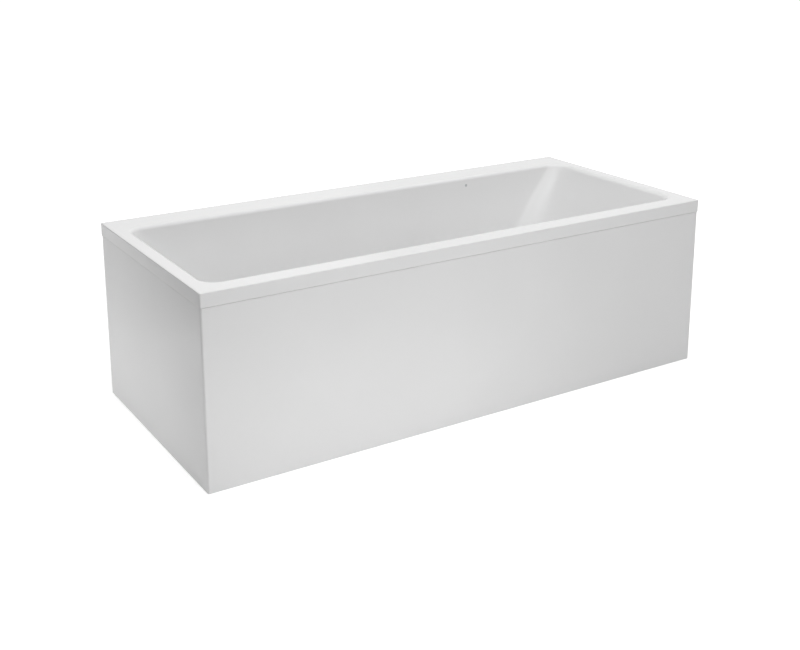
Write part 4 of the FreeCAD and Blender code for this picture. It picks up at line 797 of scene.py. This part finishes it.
def hoseRings():
    # the ribs that keep a bent hose round
    tree, given = newTree("hoseRings", rings)
    path = addNode(tree, "GeometryNodeMeshToCurve", inputs={"Mesh": given["Geometry"]})
    inputs = {"Curve": path, "Length": given["Pitch"]}
    even = addNode(tree, "GeometryNodeResampleCurve", {"mode": "LENGTH"}, inputs)
    tangent = addNode(tree, "GeometryNodeInputTangent")
    turned = addNode(tree, "FunctionNodeAlignRotationToVector", {"axis": "Z"}, {"Vector": tangent})
    loop = {"Resolution": 28, "Radius": given["Hose Radius"]}
    circle = addNode(tree, "GeometryNodeCurvePrimitiveCircle", inputs=loop)
    rib = {"Resolution": 6, "Radius": given["Rib Radius"]}
    section = addNode(tree, "GeometryNodeCurvePrimitiveCircle", inputs=rib)
    ring = addNode(tree, "GeometryNodeCurveToMesh", inputs={"Curve": circle, "Profile Curve": section})
    inputs = {"Points": even, "Instance": ring, "Rotation": turned}
    return closeTree(tree, [addNode(tree, "GeometryNodeInstanceOnPoints", inputs=inputs)], greyPlastic)


def hoseLine():
    # down along the foot wall from the overflow, round one bend and level to the waste
    centre, slope, steps = Vector(hoseRoute["bendCentre"]), hoseRoute["slope"], hoseRoute["bendSteps"]
    points = [Vector(hoseRoute["upper"])]
    for step in range(steps + 1):
        angle = math.radians(180 + slope + (90 - slope) * step / steps)
        points.append(centre + hoseRoute["bend"] * Vector((math.cos(angle), 0, math.sin(angle))))
    points.append(Vector(hoseRoute["lower"]))
    line = bpy.data.meshes.new("hoseLine")
    line.from_pydata(points, [(number, number + 1) for number in range(len(points) - 1)], [])
    return line


studTree, gussetTree, gripTree, ringTree = threadedStud(), padGussets(), nutGrip(), hoseRings()
for number in range(1, 6):
    body = f"foot_{number}"
    low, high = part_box(f"foot_stud_{number}")
    middle = middleOf(f"foot_stud_{number}")
    place = Matrix.Translation((middle.x, middle.y, low.z))
    stud = grown(f"threadedStud{number}", studTree, {"Length": high.z - low.z}, place, sharpAngle=50)
    standIn(stud, f"foot_stud_{number}", body)
    softened(f"foot_pad_{number}", body, blackPlastic, 0.8 * millimetre)
    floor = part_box(f"foot_pad_{number}")[0].z
    gussets = grown(f"padGussets{number}", gussetTree, {}, Matrix.Translation((middle.x, middle.y, floor)))
    dressing(gussets, body)
    softened(f"foot_nuts_{number}", f"nuts_{number}", zinc, 0.7 * millimetre)

# each gripped nut: the turn of its axis from +Z, and the sizes of its ribs
trapGrip = {"Nut Radius": 0.027, "Height": 0.012, "Count": 24}
hoseGrip = {"Nut Radius": 0.0148, "Height": 0.016, "Count": 16}
gripped = {
    "trap_inlet_nut": (Matrix.Identity(4), trapGrip),
    "trap_outlet_nut": (Matrix.Rotation(math.radians(90), 4, "X"), trapGrip),
    "hose_nut_upper": (Matrix.Rotation(math.radians(-hoseRoute["slope"]), 4, "Y"), hoseGrip),
    "hose_nut_lower": (Matrix.Rotation(math.radians(90), 4, "Y"), hoseGrip),
}
for node, (turn, sizes) in gripped.items():
    softened(node, "bath", whitePlastic, 0.8 * millimetre)
    ribs = grown(node + "Grip", gripTree, sizes, Matrix.Translation(middleOf(node)) @ turn)
    dressing(ribs, "bath")
dressing(grown("hoseRings", ringTree, {}, Matrix.Identity(4), hoseLine()), "bath")
print("feet, nuts and hose made")


def finish(nodes, material):
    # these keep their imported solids
    for node in nodes:
        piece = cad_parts[node]
        piece.data.materials.clear()
        piece.data.materials.append(material)


finish(["cradle_screws", "bracket_screws"], zinc)
finish(["catch_magnets"], nickel)
finish(["waste_flange", "popup_plug", "overflow_face", "overflow_knob"], chrome)
finish(["waste_seal_upper", "waste_seal_lower", "plug_seal", "overflow_seal"], rubber)
finish(["waste_body", "trap", "outlet_pipe", "overflow_body", "cable_drum"], whitePlastic)
finish(["pilot_hole_cap"], capPlastic)
finish(["overflow_hose"], greyPlastic)
finish(["control_cable"], sheath)


studio = {
    "cameraPlace": (-1.8637, -2.9094, 1.4820),
    "yaw": 0.5603,
    "pitch": 0.2440,
    "focal": 1165.58,  # pixels, as the shift and the width are
    "shift": -140,
    "imageWidth": 800,
    "floorSize": 60,
    "floorColour": "E6E6E6",
    "floorGlow": 0.62,  # the paper's own glow under the bath, and how far off it grows to full white
    "glowNear": 1.5,
    "glowFar": 3.5,
    "worldStrength": 0.1,
    # each lamp's and card's name, place, aim, size and watts
    "lamps": [
        ("overhead", (0.2, -0.2, 3.2), (0, 0, 0.5), (5.0, 4.0), 97.3),
        ("frontKey", (0.8, -4.0, 2.2), (0, 0, 0.3), (3.0, 2.0), 40),
        ("backFill", (0.6, 3.8, 2.6), (0, 0, 0.4), (3.0, 2.0), 9.1),
    ],
    "cards": [
        ("frontCard", (-0.45, -1.6, 0.12), (-0.45, -0.37, 0.16), (1.8, 0.2), 0.9),
        ("frontStrip", (-0.5, -0.95, 0.06), (-0.5, -0.375, 0.08), (1.3, 0.1), 0.9),
        ("leftStrip", (-1.35, 0.2, 0.06), (-0.85, 0.2, 0.08), (1.1, 0.1), 1.1),
        ("backCard", (0.6, 3.4, 0.6), (0, 0.3, 0.2), (2.6, 0.8), 6),
    ],
}


def whiteToTheEye(tree):
    # 1 for rays that the camera, a polished surface or a clear one sends out
    path = addNode(tree, "ShaderNodeLightPath").outputs
    seen = path["Is Camera Ray"]
    for name in ("Is Glossy Ray", "Is Transmission Ray"):
        seen = addNode(tree, "ShaderNodeMath", {"operation": "MAXIMUM"}, {0: seen, 1: path[name]})
    return seen


def studioWorld():
    world = bpy.data.worlds.new("studioWorld")
    bpy.context.scene.world = world
    world.use_nodes = True
    tree = world.node_tree
    tree.nodes.clear()
    white = addNode(tree, "ShaderNodeBackground", inputs={"Color": (1, 1, 1, 1), "Strength": 1.0})
    soft = {"Color": (1, 1, 1, 1), "Strength": studio["worldStrength"]}
    dim = addNode(tree, "ShaderNodeBackground", inputs=soft)
    mixed = addNode(tree, "ShaderNodeMixShader", inputs={0: whiteToTheEye(tree), 1: dim, 2: white})
    addNode(tree, "ShaderNodeOutputWorld", inputs={"Surface": mixed})


def backgroundPaper():
    # seamless background paper: white to the eye, while its diffuse part keeps the shadow
    material, tree, place = newMaterial("whiteBackgroundPaper")
    paper = addNode(tree, "ShaderNodeBsdfDiffuse", inputs={"Color": linearColour(studio["floorColour"])})
    away = addNode(tree, "ShaderNodeVectorMath", {"operation": "LENGTH"}, {0: place})
    fade = {"Value": away, "From Min": studio["glowNear"], "From Max": studio["glowFar"],
            "To Min": studio["floorGlow"], "To Max": 1.0}
    share = addNode(tree, "ShaderNodeMapRange", inputs=fade)
    glow = addNode(tree, "ShaderNodeEmission", inputs={"Color": (1, 1, 1, 1), "Strength": share})
    both = addNode(tree, "ShaderNodeAddShader", inputs={0: paper, 1: glow})
    mixed = addNode(tree, "ShaderNodeMixShader", inputs={0: whiteToTheEye(tree), 1: paper, 2: both})
    addNode(tree, "ShaderNodeOutputMaterial", inputs={"Surface": mixed})
    return material


def studioFloor():
    shape = bmesh.new()
    half = studio["floorSize"] / 2
    corners = [(-half, -half), (half, -half), (half, half), (-half, half)]
    shape.faces.new([shape.verts.new((x, y, cadLow.z)) for x, y in corners])
    fromBmesh("studioFloor", shape, [backgroundPaper()])


def softbox(name, place, aim, size, power):
    light = bpy.data.lights.new(name, "AREA")
    light.shape = "RECTANGLE"
    light.size, light.size_y = size
    light.energy = power
    lamp = bpy.data.objects.new(name, light)
    bpy.context.scene.collection.objects.link(lamp)
    lamp.location = place
    lamp.rotation_euler = (Vector(aim) - Vector(place)).to_track_quat("-Z", "Y").to_euler()
    lamp.visible_camera = False
    return lamp


def studioCamera():
    camera = bpy.data.cameras.new("camera")
    camera.sensor_width = 36
    camera.lens = studio["focal"] / studio["imageWidth"] * camera.sensor_width
    camera.shift_y = studio["shift"] / studio["imageWidth"]
    eye = bpy.data.objects.new("camera", camera)
    bpy.context.scene.collection.objects.link(eye)
    eye.location = studio["cameraPlace"]
    eye.rotation_euler = (math.pi / 2 - studio["pitch"], 0, -studio["yaw"])
    bpy.context.scene.camera = eye


studioWorld()
studioFloor()
for lamp in studio["lamps"]:
    softbox(*lamp)
for card in studio["cards"]:
    softbox(*card).visible_glossy = False  # reflecting cards stay out of the gloss
studioCamera()
bpy.context.scene.view_settings.view_transform = "Standard"
print("studio made")
